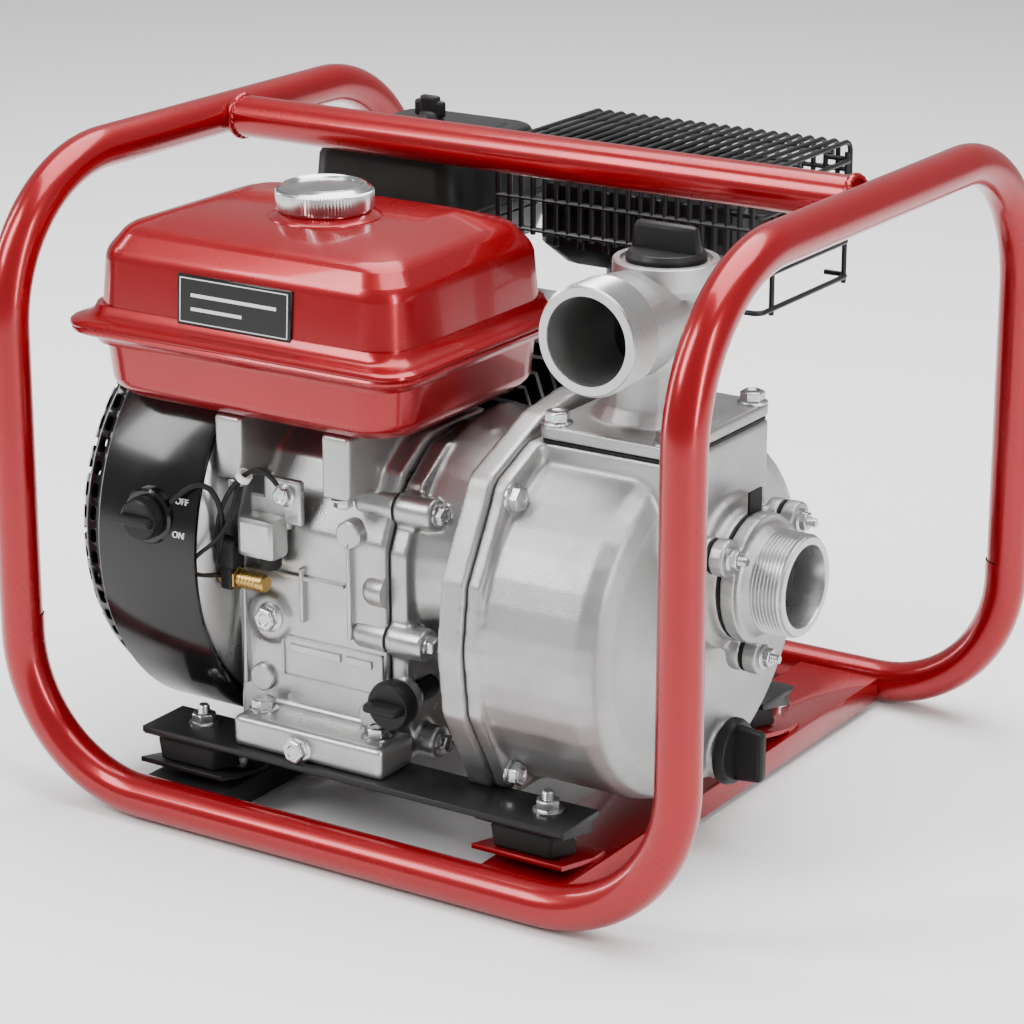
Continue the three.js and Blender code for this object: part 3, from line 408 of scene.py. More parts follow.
def stacked(name: str, low: Vector, high: Vector, levels: Profile, corner_mm: float,
            segments: int = 6) -> Object:
    """Raises a round-cornered plate through several levels.

    Args:
        name: the new piece's name.
        low: lowest corner of the plan outline, in metres.
        high: highest corner of the plan outline, in metres.
        levels: pairs of height and inset, in millimetres.
        corner_mm: radius of the plan corners.
        segments: how many steps round each corner.

    Returns:
        The closed solid.
    """
    centre, size = (low + high) / 2, high - low
    bpy.ops.object.select_all(action="DESELECT")
    z, inset = levels[0]
    bpy.ops.mesh.primitive_plane_add(size=1, location=(centre.x, centre.y, z * MM))
    piece = bpy.context.active_object
    piece.name = name
    piece.scale = (size.x - 2 * inset * MM, size.y - 2 * inset * MM, 1)
    bpy.ops.object.transform_apply(location=True, rotation=True, scale=True)
    bpy.ops.object.mode_set(mode="EDIT")
    bpy.ops.mesh.select_all(action="SELECT")
    bpy.ops.mesh.bevel(affect="VERTICES", offset=corner_mm * MM, segments=segments)
    bpy.ops.mesh.select_all(action="SELECT")
    for top, inward in levels[1:]:
        bpy.ops.mesh.extrude_region_move(TRANSFORM_OT_translate={"value": (0, 0, (top - z) * MM)})
        wide = [(s - 2 * inward * MM) / (s - 2 * inset * MM) for s in (size.x, size.y)]
        bpy.ops.transform.resize(value=(*wide, 1), center_override=(centre.x, centre.y, top * MM))
        z, inset = top, inward
    bpy.ops.object.mode_set(mode="OBJECT")
    return settle(piece)


def block(name: str, low: tuple, high: tuple, soft_mm: float) -> Object:
    """A block between two corners in millimetres, with rounded edges."""
    a, b = Vector(low) * MM, Vector(high) * MM
    bpy.ops.object.select_all(action="DESELECT")
    bpy.ops.mesh.primitive_cube_add(size=1, location=(a + b) / 2)
    piece = bpy.context.active_object
    piece.name = name
    piece.scale = b - a
    return rounded(settle(piece), soft_mm)


def piped(name: str, start: Vector, heading: Vector, legs: list[float | tuple], radius_mm: float,
          sides: int = 32) -> Object:
    """Pulls a disc along straights and spins it round bends, like a bent tube.

    Args:
        name: the new piece's name.
        start: centre of the first end.
        heading: direction of the first leg.
        legs: a length in metres, or a tuple of side direction, bend radius in metres and steps.
        radius_mm: outside radius of the tube.
        sides: sides of the section.

    Returns:
        The closed tube.
    """
    bpy.ops.object.select_all(action="DESELECT")
    bpy.ops.mesh.primitive_circle_add(vertices=sides, radius=radius_mm * MM, fill_type="NGON", location=start,
                                      rotation=heading.to_track_quat("Z", "Y").to_euler())
    piece = bpy.context.active_object
    piece.name = name
    bpy.ops.object.mode_set(mode="EDIT")
    bpy.ops.mesh.select_all(action="SELECT")
    place = start.copy()
    for leg in legs:
        if isinstance(leg, float):
            bpy.ops.mesh.extrude_region_move(TRANSFORM_OT_translate={"value": heading * leg})
            place += heading * leg
            continue
        side, bend, steps = leg
        bpy.ops.mesh.spin(steps=steps, angle=math.pi / 2, center=place + side * bend,
                          axis=side.cross(heading))
        place += (side + heading) * bend
        heading = side
    bpy.ops.object.mode_set(mode="OBJECT")
    return settle(piece, 60)


def wire(name: str, points: list[tuple], radius_mm: float) -> Object:
    """A soft wire through points in millimetres, made a mesh."""
    bpy.ops.object.select_all(action="DESELECT")
    bpy.ops.curve.primitive_nurbs_path_add()
    piece = bpy.context.active_object
    piece.name = name
    piece.data.splines.clear()
    line = piece.data.splines.new("NURBS")
    line.points.add(len(points) - 1)
    for point, place in zip(line.points, points):
        point.co = (*(Vector(place) * MM), 1)
    line.use_endpoint_u, line.order_u, line.resolution_u = True, 3, 8
    piece.data.bevel_depth, piece.data.bevel_resolution, piece.data.use_fill_caps = radius_mm * MM, 3, True
    bpy.ops.object.convert(target="MESH")
    return settle(bpy.context.active_object, 60)


def joined(name: str, pieces: list[Object]) -> Object:
    """Joins several meshes into one piece."""
    pick(*pieces)
    if len(pieces) > 1:
        bpy.ops.object.join()
    pieces[0].name = name
    return pieces[0]


def cut(piece: Object, tool: Object) -> Object:
    """Takes a tool's shape out of a piece and removes the tool."""
    modify(piece, "BOOLEAN", object=tool, operation="DIFFERENCE", solver="EXACT")
    bpy.data.objects.remove(tool)
    return piece


def sliced(piece: Object, place: Vector, outward: Vector) -> Object:
    """Cuts off what lies beyond a plane and closes the cut."""
    pick(piece)
    bpy.ops.object.mode_set(mode="EDIT")
    bpy.ops.mesh.select_all(action="SELECT")
    bpy.ops.mesh.bisect(plane_co=place, plane_no=outward, clear_outer=True, use_fill=True)
    bpy.ops.object.mode_set(mode="OBJECT")
    return piece


def welded(node: str, name: str, tidy: bool = True) -> Object:
    """Copies a frame node and merges its loose triangles.

    Args:
        node: the frame node.
        name: the copy's name.
        tidy: also dissolves the edges inside flat faces.

    Returns:
        The copy, at the same place.
    """
    piece = bpy.data.objects.new(name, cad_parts[node].data.copy())
    piece.data.materials.clear()
    bpy.context.scene.collection.objects.link(piece)
    pick(piece)
    bpy.ops.object.mode_set(mode="EDIT")
    bpy.ops.mesh.select_all(action="SELECT")
    bpy.ops.mesh.remove_doubles(threshold=SAME_POINT)
    if tidy:
        bpy.ops.mesh.dissolve_limited(angle_limit=math.radians(0.6))
    bpy.ops.object.mode_set(mode="OBJECT")
    return piece


def softened(node: str, name: str, soft_mm: float = 0.8, segments: int = 2) -> Object:
    """A pressed or moulded node with its edges rounded."""
    return rounded(welded(node, name), soft_mm, segments, 38.0)


def recast(node: str, name: str, voxel_mm: float, rounds: int = 4) -> Object:
    """A cast node with flowing fillets, as a foundry pattern gives.

    Args:
        node: the frame node.
        name: the new piece's name.
        voxel_mm: how fine the new surface is.
        rounds: how often the surface is relaxed.

    Returns:
        The cast piece.
    """
    piece = welded(node, name, tidy=False)
    modify(piece, "REMESH", mode="VOXEL", voxel_size=voxel_mm * MM, adaptivity=0.0)
    modify(piece, "SMOOTH", factor=0.5, iterations=rounds)
    pick(piece)
    bpy.ops.object.shade_smooth()
    return piece


def dress(piece: Object, finish: Finish, body: str = "machine", stands_for: tuple[str, ...] = ()) -> Object:
    """Gives a piece its finish, its body and the nodes it stands for, and reports it.

    Args:
        piece: the finished piece.
        finish: its finish.
        body: the body it moves with.
        stands_for: the frame nodes it replaces.

    Returns:
        The same piece.
    """
    piece.data.materials.clear()
    piece.data.materials.append(finish.material())
    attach(piece, body)
    if stands_for:
        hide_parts(*stands_for)
    log.info("%-28s %7d faces on %s", piece.name, len(piece.data.polygons), body)
    return piece


def keep(finish: Finish, *nodes: str) -> None:
    """Leaves frame nodes as they are and only gives them a finish."""
    for node in nodes:
        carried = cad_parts[node]
        carried.data.materials.clear()
        carried.data.materials.append(finish.material())
        log.info("%-28s kept from the frame", node)


def middle(node: str) -> Vector:
    """The centre of a node's box."""
    low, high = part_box(node)
    return (Vector(low) + Vector(high)) / 2


def at(x: float, y: float, z: float) -> Vector:
    """A place given in millimetres."""
    return Vector((x, y, z)) * MM


# ------------------------------------------------------------------ fasteners
class BoltSize(Enum):
    """Named flange-bolt sizes: half width over corners, head height and flange radius in millimetres."""

    M6 = (5.8, 5.6, 7.0)
    M8 = (7.4, 7.2, 9.0)


@dataclass
class Fasteners:
    """A set of equal hexagon flange bolts or nuts that share one piece."""

    name: str
    size: BoltSize = BoltSize.M8
    stud: bool = False
    sunk_mm: float = 3.0

    def _pattern(self) -> Object:
        """Models one fastener at the origin, pointing along +Z."""
        corner, height, flange = self.size.value
        base = turned("flange", [(-self.sunk_mm, corner * 0.6), (0, corner * 0.6), (0, flange), (1.0, flange),
                                 (2.0, corner * 0.95)], Vector(), Z, 32)
        head = turned("head", [(1.4, corner), (height - 0.6, corner), (height, corner * 0.86),
                               (height, corner * 0.55), (height - 0.7, corner * 0.5)], Vector(), Z, 6)
        rounded(head, 0.25, 1)
        parts = [base, head]
        if self.stud:
            rings = [(height - 1.0, corner * 0.5)]
            for k in range(4):
                rings += [(height + k * 1.2, corner * 0.5), (height + k * 1.2 + 0.6, corner * 0.42)]
            parts.append(turned("stud", rings + [(height + 5.0, corner * 0.38)], Vector(), Z, 20))
        return joined("fastener", parts)

    def build(self, places: list[tuple[Vector, Vector]], body: str = "machine") -> Object:
        """Copies the pattern to each place.

        Args:
            places: pairs of seat centre in metres and outward direction.
            body: the body they move with.

        Returns:
            All of them as one piece.
        """
        pattern = self._pattern()
        copies = []
        for k, (place, out) in enumerate(places):
            one = pattern.copy()
            one.data = pattern.data.copy()
            bpy.context.scene.collection.objects.link(one)
            spin = Matrix.Rotation(0.35 + 0.6 * k, 4, "Z")
            aim = out.to_track_quat("Z", "Y").to_matrix().to_4x4()
            one.data.transform(Matrix.Translation(place) @ aim @ spin)
            copies.append(one)
        bpy.data.objects.remove(pattern)
        return dress(joined(self.name, copies), ZINC, body)


# ------------------------------------------------------------------ carry frame
@dataclass
class CarryFrame:
    """Bent red tubes: two hoops, two bottom runs and the handle bar."""

    bend_top: float = 93.0
    bend_bottom: float = 88.0
    bead: float = 2.4

    def _hoop(self, side: str) -> Object:
        """One end hoop, standing on its two butt joints."""
        low, high = map(Vector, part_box(f"frame_hoop_{side}"))
        r = (high.x - low.x) / 2
        bend, width = self.bend_top * MM, high.y - low.y - 2 * r
        upright = high.z - r - bend - low.z
        start = Vector(((low.x + high.x) / 2, low.y + r, low.z))
        return piped(f"hoop_tube_{side}", start, Z.copy(),
                     [upright, (Y, bend, 20), width - 2 * bend, (-Z, bend, 20), upright], r / MM)

    def _bottom(self, end: str) -> Object:
        """One bottom run that joins the two hoops."""
        low, high = map(Vector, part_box(f"frame_bottom_{end}"))
        r = (high.y - low.y) / 2
        bend, length = self.bend_bottom * MM, high.x - low.x - 2 * r
        upright = high.z - low.z - r - bend
        start = Vector((low.x + r, (low.y + high.y) / 2, high.z))
        return piped(f"bottom_tube_{end}", start, -Z,
                     [upright, (X, bend, 20), length - 2 * bend, (Z, bend, 20), upright], r / MM)

    def _bar(self) -> None:
        """The handle bar along the top, with a fillet weld at each end."""
        low, high = map(Vector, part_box("frame_top_bar"))
        r, y, z = (high.z - low.z) / 2 / MM, (low.y + high.y) / 2, (low.z + high.z) / 2
        reach = (high.x - low.x) / MM
        bar = turned("handle_bar", [(0, r), (reach, r)], Vector((low.x, y, z)), X, 32)
        dress(bar, RED, stands_for=("frame_top_bar",))
        for side, x, out in (("left", low.x, -1), ("right", high.x, 1)):
            bpy.ops.object.select_all(action="DESELECT")
            bpy.ops.mesh.primitive_torus_add(location=(x - out * 0.002, y, z), rotation=(0, math.pi / 2, 0),
                                             major_radius=(r - 0.6) * MM, minor_radius=self.bead * MM,
                                             major_segments=72, minor_segments=10)
            weld = bpy.context.active_object
            weld.name = f"weld_bead_{side}"
            settle(weld, 80)
            centre = Vector((x, y, z))
            for vertex in weld.data.vertices:
                arm = vertex.co - centre
                turn = math.atan2(arm.z, arm.y)
                vertex.co.x += out * (abs(math.cos(turn)) * 1.5 + 0.45 * math.sin(turn * 22)) * MM
            dress(weld, RED)

    @staticmethod
    def _fused(tubes: list[Object], seam: float) -> Object:
        """Takes the end discs off and welds the tubes into one ground-smooth run."""
        loop = joined("carry_tubes", tubes)
        ends = [face.index for face in loop.data.polygons
                if abs(face.center.z - seam) < 1e-3 and abs(face.normal.z) > 0.99]
        log.info("%d end discs taken off the tubes", len(ends))
        opened(loop, ends, 8e-4)
        return settle(loop, 60)

    def build(self) -> None:
        """Builds every tube."""
        tubes = [self._hoop(side) for side in ("left", "right")]
        tubes += [self._bottom(end) for end in ("front", "back")]
        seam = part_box("frame_hoop_left")[0][2]
        dress(self._fused(tubes, seam), RED,
              stands_for=("frame_hoop_left", "frame_hoop_right", "frame_bottom_front", "frame_bottom_back"))
        self._bar()


# ------------------------------------------------------------------ base
@dataclass
class Base:
    """Cross-members, engine rails and rubber mounts."""

    nut_x: tuple[float, float] = (-123.0, 120.0)

    def build(self) -> None:
        """Builds the base and its fasteners."""
        for side, paint in (("left", BLACK_PAINT), ("right", RED)):
            node = f"cross_member_{side}"
            dress(softened(node, f"channel_{side}", 0.9), paint, stands_for=(node,))
        for end in ("front", "rear"):
            node = f"rail_{end}"
            dress(softened(node, f"engine_rail_{end}", 0.7), BLACK_PAINT, stands_for=(node,))
            for side in ("left", "right"):
                self._rubber(f"mount_rubber_{end}_{side}")
        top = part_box("rail_front")[1][2]
        rear = middle("rail_rear").y
        places = [(Vector((x * MM, y, top)), Z) for x in self.nut_x for y in (-0.164, rear)]
        Fasteners("rail_nuts", stud=True).build(places)
        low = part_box("mount_rubber_front_left")[0][2] - 4 * MM
        spots = ((-112, -0.146), (113, -0.139), (113, 0.117), (-112, 0.117))
        feet = [(Vector((x * MM, y, low)), Z) for x, y in spots]
        Fasteners("bracket_nuts", stud=True).build(feet)

    def _rubber(self, node: str) -> None:
        """A rubber block with a waist pressed in round it."""
        piece = welded(node, f"{node}_block")
        rounded(piece, 2.2, 3, 40)
        centre = middle(node)
        half = (Vector(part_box(node)[1]) - Vector(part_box(node)[0])) / 2
        for vertex in piece.data.vertices:
            rise = (vertex.co.z - centre.z) / half.z
            pinch = 1 - 0.10 * max(0.0, 1 - rise * rise * 2)
            vertex.co.x = centre.x + (vertex.co.x - centre.x) * pinch
        dress(piece, RUBBER, stands_for=(node,))


# ------------------------------------------------------------------ engine
@dataclass
class EngineBlock:
    """Crankcase, side cover, cylinder and the small fittings in front of them."""

    face: float = -152.0

    def build(self) -> None:
        """Builds the castings, bolts, panel, wires and hidden parts."""
        dress(recast("crankcase", "crankcase_casting", 2.1), DIE_CAST, stands_for=("crankcase",))
        dress(recast("side_cover", "side_cover_casting", 1.7), DIE_CAST, stands_for=("side_cover",))
        dress(softened("valve_cover", "rocker_cover", 2.0), DIE_CAST, stands_for=("valve_cover",))
        dress(softened("cylinder_barrel", "finned_barrel", 0.5, 1), BLACK_PAINT,
              stands_for=("cylinder_barrel",))
        dress(softened("cylinder_head", "finned_head", 0.5, 1), BLACK_PAINT, stands_for=("cylinder_head",))
        dress(softened("spark_plug", "plug_cap", 1.0), RUBBER, stands_for=("spark_plug",))
        self._sensor()
        keep(STEEL, "crankshaft", "connecting_rod")
        keep(MACHINED, "piston")
        self._bolts()
        self._relief()
        self._bell()
        self._wires()

    @staticmethod
    def _sensor() -> None:
        """The oil-sensor box on its bracket, with the brass union beside it."""
        box = block("box", (-90, -171.5, 164), (-63, -155, 189), 3.6)
        tab = block("tab", (-80, -157.5, 184), (-53, -152.5, 211.5), 2.0)
        arm = block("arm", (-90, -157.5, 180), (-62, -152, 200), 2.2)
        dress(joined("sensor_housing", [box, tab, arm]), DIE_CAST, stands_for=("sensor_box",))
        dress(turned("sensor_boot", [(157, 5), (159, 6.4), (164.5, 6.8)], at(-72, -162, 0), Z, 32), RUBBER)
        line = at(0, -163, 147)
        hexagon = turned("hexagon", [(-101, 5.6), (-101, 7.4), (-94, 7.4), (-94, 5.6)], line, X, 6)
        rings = [(-108, 3.4), (-107.5, 4.6), (-101, 4.6), (-93, 4.6), (-93, 5.4)]
        for k in range(5):
            x = -91.5 + 2.6 * k
            rings += [(x, 5.4), (x + 0.5, 4.7), (x + 1.3, 4.7), (x + 1.7, 5.4)]
        body = turned("body", rings + [(-76, 5.4), (-74.5, 4.4)], line, X, 32)
        dress(joined("brass_union", [rounded(hexagon, 0.5, 2), body]), BRASS, stands_for=("brass_connector",))

    def _bolts(self) -> None:
        """Hexagon bolts on the cover, foot and lugs."""
        Fasteners("cover_bolts", BoltSize.M6).build(
            [(at(28, y, z), X) for y, z in ((-136, 200), (-146, 124), (-134, 60), (-76, 228))])
        Fasteners("foot_bolts").build([(at(-78, -164, 68.6), Z), (at(3, -164, 68.6), Z)])
        Fasteners("oil_drain_bolt").build([(at(-40, -181.6, 58), -Y)])
        Fasteners("stud_nut").build([(at(-78, -156, 124), -Y)])
        Fasteners("bracket_bolt", BoltSize.M6).build([(at(-64, -157.5, 202), -Y)])
        Fasteners("lug_bolts", BoltSize.M6).build([(at(-97, -160, 208.4), -Z), (at(-21, -160, 208.4), -Z)])

    def _relief(self) -> None:
        """Raised frame, ribs and bosses on the crankcase front."""
        y = self.face
        parts = [block("edge", (x0, y - 1.4, z0), (x1, y + 2, z1), 0.5) for x0, x1, z0, z1 in
                 ((-72, 0, 112.5, 114), (-72, 0, 88, 89.5), (-72, -70.5, 88, 114), (-1.5, 0, 88, 114),
                  (-66, -30, 104, 109), (-26, -8, 104, 109))]
        parts += [block("rib", (x - 1.6, y - 3.4, z0), (x + 1.6, y + 4, z1), 1.2) for x, z0, z1 in
                  ((-98, 78, 176), (-56, 124, 158), (-22, 120, 180))]
        parts += [turned("boss", [(-6, 9), (2.5, 8.4), (3.4, 7.4)], at(x, y, z), -Y, 32) for x, z in
                  ((-22, 184), (-86, 84), (-8, 76))]
        parts += [turned("lug", [(x0, 6), (x0 + 2.5, 8.6), (x0 + 5, 9.4), (1.6, 9.6)], at(0, dy, z), X, 36)
                  for x0, dy, z in ((-26, -136, 200), (-13, -148, 152), (-22, -146, 124), (-18, -134, 60))]
        parts.append(block("step", (-104, y - 2.6, 150), (-26, y + 3, 153), 1.2))
        dress(joined("crankcase_relief", parts), DIE_CAST)

    @staticmethod
    def _bell() -> None:
        """The rolled rim of the crankcase flange behind the flywheel, flat under the tank."""
        axis = middle("crankshaft")
        section = [(-116, 108), (-117, 118), (-115.5, 122), (-113, 122.5), (-110.5, 120), (-106, 109),
                   (-103, 98), (-103, 92), (-110, 92), (-116, 108)]
        rim = ring("bell_rim", section, Vector((0, axis.y, axis.z)), X, 120)
        dress(settle(sliced(rim, at(0, 0, 240), Z), 50), DIE_CAST)

    def _wires(self) -> None:
        """The loom from the starter housing to the sensor, with its clip and tie."""
        ignition = [(-122, -190, 196), (-112, -186, 208), (-101, -178, 206), (-98, -172, 186),
                    (-102, -171, 165), (-103, -168, 153)]
        dress(wire("ignition_wire", ignition, 1.7), RUBBER, stands_for=("switch_wire",))
        sensor = [(-64, -165, 210), (-70, -170, 222), (-84, -172, 214), (-96, -172, 200),
                  (-104, -173, 178), (-103, -170, 158)]
        dress(wire("sensor_wire", sensor, 1.5), RUBBER, stands_for=("loom_wire",))
        dress(wire("earth_wire", [(-104, -166, 148), (-116, -185, 150), (-112, -186, 162), (-96, -175, 176),
                                  (-90, -172, 196), (-88, -168, 214), (-98, -160, 222)], 1.3), RUBBER)
        tie = ring("cable_tie", [(0, 3.4), (0, 4.6), (4.2, 4.6), (4.2, 3.4), (0, 3.4)], at(-84, -171.5, 212),
                     Vector((0.6, 0, 0.8)), 24)
        dress(tie, NYLON)
        clip = joined("wire_clip", [block("clip", (-103, -170.5, 141), (-95, -157, 156), 1.4),
                                    block("latch", (-105, -172, 155), (-92, -160, 172), 1.6)])
        dress(clip, PLASTIC)


# ------------------------------------------------------------------ starter end
@dataclass
class StarterEnd:
    """Fan shroud, perforated recoil cover, pull handle and engine switch."""

    wall: float = 3.5
    rim: float = 131.0
    cover_rim: float = 123.0
    slots: int = 40

    def build(self) -> None:
        """Builds the black end of the engine."""
        axis = middle("recoil_pulley")
        self._shroud(axis)
        self._cover(axis)
        self._switch()
        self._handle()
        keep(STEEL, "flywheel_fan")
        keep(PLASTIC, "recoil_pulley", "ignition_coil")

    def _shroud(self, axis: Vector) -> None:
        """The deep round shroud, open towards the engine."""
        low, high = (Vector(v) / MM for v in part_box("fan_shroud"))
        r, roof = self.rim, Vector((0, 0, high.z * MM))
        origin = Vector((0, axis.y, axis.z))
        outside = [(low.x, r - 8), (low.x + 2, r - 3), (low.x + 6, r), (high.x - 2, r), (high.x, r - 1)]
        shell = sliced(turned("shroud_shell", outside, origin, X, 128), roof, Z)
        inside = [(low.x + 4, r - 12), (low.x + 8, r - self.wall), (high.x + 4, r - self.wall)]
        hollow = sliced(turned("tool", inside, origin, X, 96), roof - Z * 3 * MM, Z)
        cut(shell, hollow)
        cut(shell, turned("tool", [(low.x - 4, 83), (low.x + 8, 83)], origin, X, 64))
        cut(shell, block("tool", (-124, 40, 160), (-90, 200, 330), 0.2))
        boss = turned("boss", [(-16, 17), (-1.4, 17), (0, 15.6)], Vector((-0.141, low.y * MM, 0.184)), -Y, 48)
        settle(shell, 40)
        dress(joined("shroud_shell", [shell, boss]), GLOSS, stands_for=("fan_shroud",))

    def _cover(self, axis: Vector) -> None:
        """The dished cover with its rings of cooling slots."""
        low, high = (Vector(v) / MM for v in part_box("recoil_cover"))
        r, inner = self.cover_rim, high.x
        origin, roof = Vector((0, axis.y, axis.z)), Vector((0, 0, 0.2468))
        dish = sliced(turned("dish", [(inner, r), (inner - 9, r), (inner - 14, r - 3), (inner - 19, r - 8),
                                      (low.x, r - 20)], origin, X, 120), roof, Z)
        hollow = sliced(turned("tool", [(inner + 1, r - 3), (inner - 9, r - 3), (inner - 18, r - 11),
                                        (low.x + 3, r - 22)], origin, X, 96), roof - Z * 3 * MM, Z)
        cut(dish, hollow)
        tools = []
        for ring, (near, far, count) in enumerate(((70, 84, 24), (89, 101, 32), (107, 119, self.slots))):
            for k in range(count):
                turn = (k + 0.5 * ring) * 2 * math.pi / count
                if 0.35 < turn % (2 * math.pi) < 2.2:
                    continue
                tools.append(self._slot(origin, turn, near, far, low.x, inner))
        cut(dish, joined("tool", tools))
        cut(dish, joined("tool", [self._rim_slot(origin, 2.35 + k * 0.112, x)
                                  for x in (inner - 5.2, inner - 13.5) for k in range(38)]))
        hub = turned("hub", [(low.x + 2, 30), (low.x, 29), (low.x, 22), (low.x + 1.4, 21)], origin, X, 64)
        settle(dish, 40)
        dress(joined("recoil_housing", [dish, hub]), GLOSS, stands_for=("recoil_cover",))

    @staticmethod
    def _slot(origin: Vector, turn: float, near: float, far: float, x0: float, x1: float) -> Object:
        """One slot cutter, long along the radius."""
        tool = block("tool", (x0 - 4, near, -2.6), (x1 - 3, far, 2.6), 1.8)
        tool.data.transform(Matrix.Translation(origin) @ Matrix.Rotation(turn, 4, "X"))
        return tool

    @staticmethod
    def _rim_slot(origin: Vector, turn: float, x: float) -> Object:
        """One slot cutter through the rim, long round the edge."""
        tool = block("tool", (x - 2.3, 109, -4.4), (x + 2.3, 130, 4.4), 1.8)
        tool.data.transform(Matrix.Translation(origin) @ Matrix.Rotation(turn, 4, "X"))
        return tool

    @staticmethod
    def _switch() -> None:
        """The round engine switch with its grip bar and plain printed marks."""
        low, high = (Vector(v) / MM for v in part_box("switch_knob"))
        seat = Vector(((low.x + high.x) / 2, 0, 0))
        centre = at(seat.x, 0, (low.z + high.z) / 2)
        stem = [(176, 4.9), (190.3, 4.9), (190.3, 13), (193, 13), (198, 12.2), (199, 11)]
        disc = turned("disc", stem, centre, -Y, 48)
        grip = block("grip", (-153.5, -203.8, 181.2), (-128.5, -198, 186.8), 1.6)
        dot = block("dot", (-132.5, -204.05, 183), (-129.5, -203.6, 185), 0.15)
        dress(joined("engine_switch", [disc, grip, dot]), PLASTIC, "switch", ("switch_knob",))
        for word, place in (("OFF", (-123, -185.2, 194)), ("ON", (-123, -189.0, 174.5))):
            bpy.ops.object.select_all(action="DESELECT")
            bpy.ops.object.text_add(location=at(*place), rotation=(math.pi / 2 - 0.2, 0, 0))
            mark = bpy.context.active_object
            mark.name = f"mark_{word.lower()}"
            mark.data.body, mark.data.size, mark.data.extrude = word, 5.4 * MM, 0.5 * MM
            bpy.ops.object.convert(target="MESH")
            dress(settle(bpy.context.active_object), PRINT)

    @staticmethod
    def _handle() -> None:
        """The moulded T-handle of the starter rope."""
        dress(softened("starter_handle", "rope_handle", 1.6, 3), PLASTIC, "pull_handle", ("starter_handle",))


# ------------------------------------------------------------------ fuel tank
@dataclass
class FuelTank:
    """Two pressed halves with a rolled seam, a label plate, neck and cap."""

    lip: float = 12.0
    corner: float = 24.0
    knurls: int = 90

    def build(self) -> None:
        """Builds the tank, its plate and its cap."""
        (low, high), (base, _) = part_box("tank_upper"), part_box("tank_lower")
        low, high, base = Vector(low), Vector(high), Vector(base)
        inset = Vector((self.lip, self.lip, 0)) * MM
        plan = (low + inset, high - inset)
        seam, bottom, top = low.z / MM, base.z / MM, high.z / MM - 7
        belly = [(bottom, 16), (bottom + 3, 9), (bottom + 9, 3), (seam - 2, 0)]
        lower = stacked("lower", *plan, belly, self.corner, 8)
        rounded(lower, 3.0, 3, 60)
        crown = [(seam, 0), (top - 22, 3), (top - 8, 13), (top, 38)]
        upper = stacked("upper", *plan, crown, self.corner, 8)
        rounded(upper, 4.2, 4, 60)
        under = [(seam - 11, 11.6), (seam - 8, 10.4), (seam - 5.6, 8), (seam - 4.4, 4.4), (seam - 4.0, 1.6),
                 (seam - 2.8, 0.3), (seam - 1.4, 0), (seam - 0.3, 0.6)]
        dress(joined("tank_bottom_half", [lower, stacked("flare", low, high, under, 20, 8)]), RED,
              stands_for=("tank_lower",))
        cap = middle("fuel_cap")
        swell = [(top - 6, 36), (top + 0.6, 33), (top + 2.4, 30), (top + 3.6, 26.5), (top + 7, 26)]
        neck = turned("neck", swell, Vector((cap.x, cap.y, 0)), Z, 64)
        over = [(seam, 0.6), (seam + 1.1, 0), (seam + 2.6, 0.3), (seam + 3.8, 1.6), (seam + 4.4, 4.4),
                (seam + 5.6, 8), (seam + 8, 10.6), (seam + 12, 12.2)]
        dress(joined("tank_top_half", [upper, stacked("flare", low, high, over, 20, 8), neck]), RED,
              stands_for=("tank_upper",))
        self._cap(cap)
        self._plate(plan[0].y / MM, top)

    def _cap(self, centre: Vector) -> None:
        """The knurled screw cap with a dished top."""
        low, high = (Vector(v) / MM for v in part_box("fuel_cap"))
        r, low.z = (high.x - low.x) / 2, low.z + 3.5
        skirt = [(low.z, r - 3.5), (low.z, r - 1.2), (low.z + 1.6, r - 0.4), (high.z - 4.0, r - 0.4),
                 (high.z - 2.8, r - 1.6), (high.z - 2.4, r - 2.8)]
        crown = [(high.z - 0.5, r - 4.6), (high.z, r - 6.4), (high.z - 0.6, r - 7.6), (high.z - 1.7, r - 8.4),
                 (high.z - 1.3, r - 15), (high.z - 0.7, 4)]
        cap = turned("filler_cap", skirt + crown, Vector((centre.x, centre.y, 0)), Z, self.knurls * 2)
        for vertex in cap.data.vertices:
            arm = Vector((vertex.co.x - centre.x, vertex.co.y - centre.y))
            if arm.length > (r - 2.0) * MM:
                step = round(math.atan2(arm.y, arm.x) / math.pi * self.knurls)
                arm *= (1.0 + (0.0 if step % 2 else -0.032))
                vertex.co.x, vertex.co.y = centre.x + arm.x, centre.y + arm.y
        dress(settle(cap, 30), CHROME, "cap", ("fuel_cap",))

    @staticmethod
    def _plate(front: float, top: float) -> None:
        """A black name plate without any name: a bright border and two plain bars."""
        z0, z1, x0, x1 = top - 55, top - 25.5, -119.0, -39.0
        plate = block("name_plate", (x0, front - 1.2, z0), (x1, front + 3, z1), 1.0)
        foot = at(0, front, z0)
        lean = Matrix.Translation(foot) @ Matrix.Rotation(-0.06, 4, "X") @ Matrix.Translation(-foot)
        border = [block("line", (a, front - 1.5, c), (b, front - 1, d), 0.1) for a, b, c, d in
                  ((x0 + 2, x1 - 2, z1 - 2.4, z1 - 1.8), (x0 + 2, x1 - 2, z0 + 1.8, z0 + 2.4),
                   (x0 + 2, x0 + 2.6, z0 + 1.8, z1 - 1.8), (x1 - 2.6, x1 - 2, z0 + 1.8, z1 - 1.8),
                   (x0 + 10, x1 - 10, z0 + 17, z0 + 19), (x0 + 10, x1 - 34, z0 + 9, z0 + 11))]
        lines = joined("plate_lines", border)
        for piece, finish in ((plate, GLOSS), (lines, PRINT)):
            piece.data.transform(lean)
            dress(piece, finish)


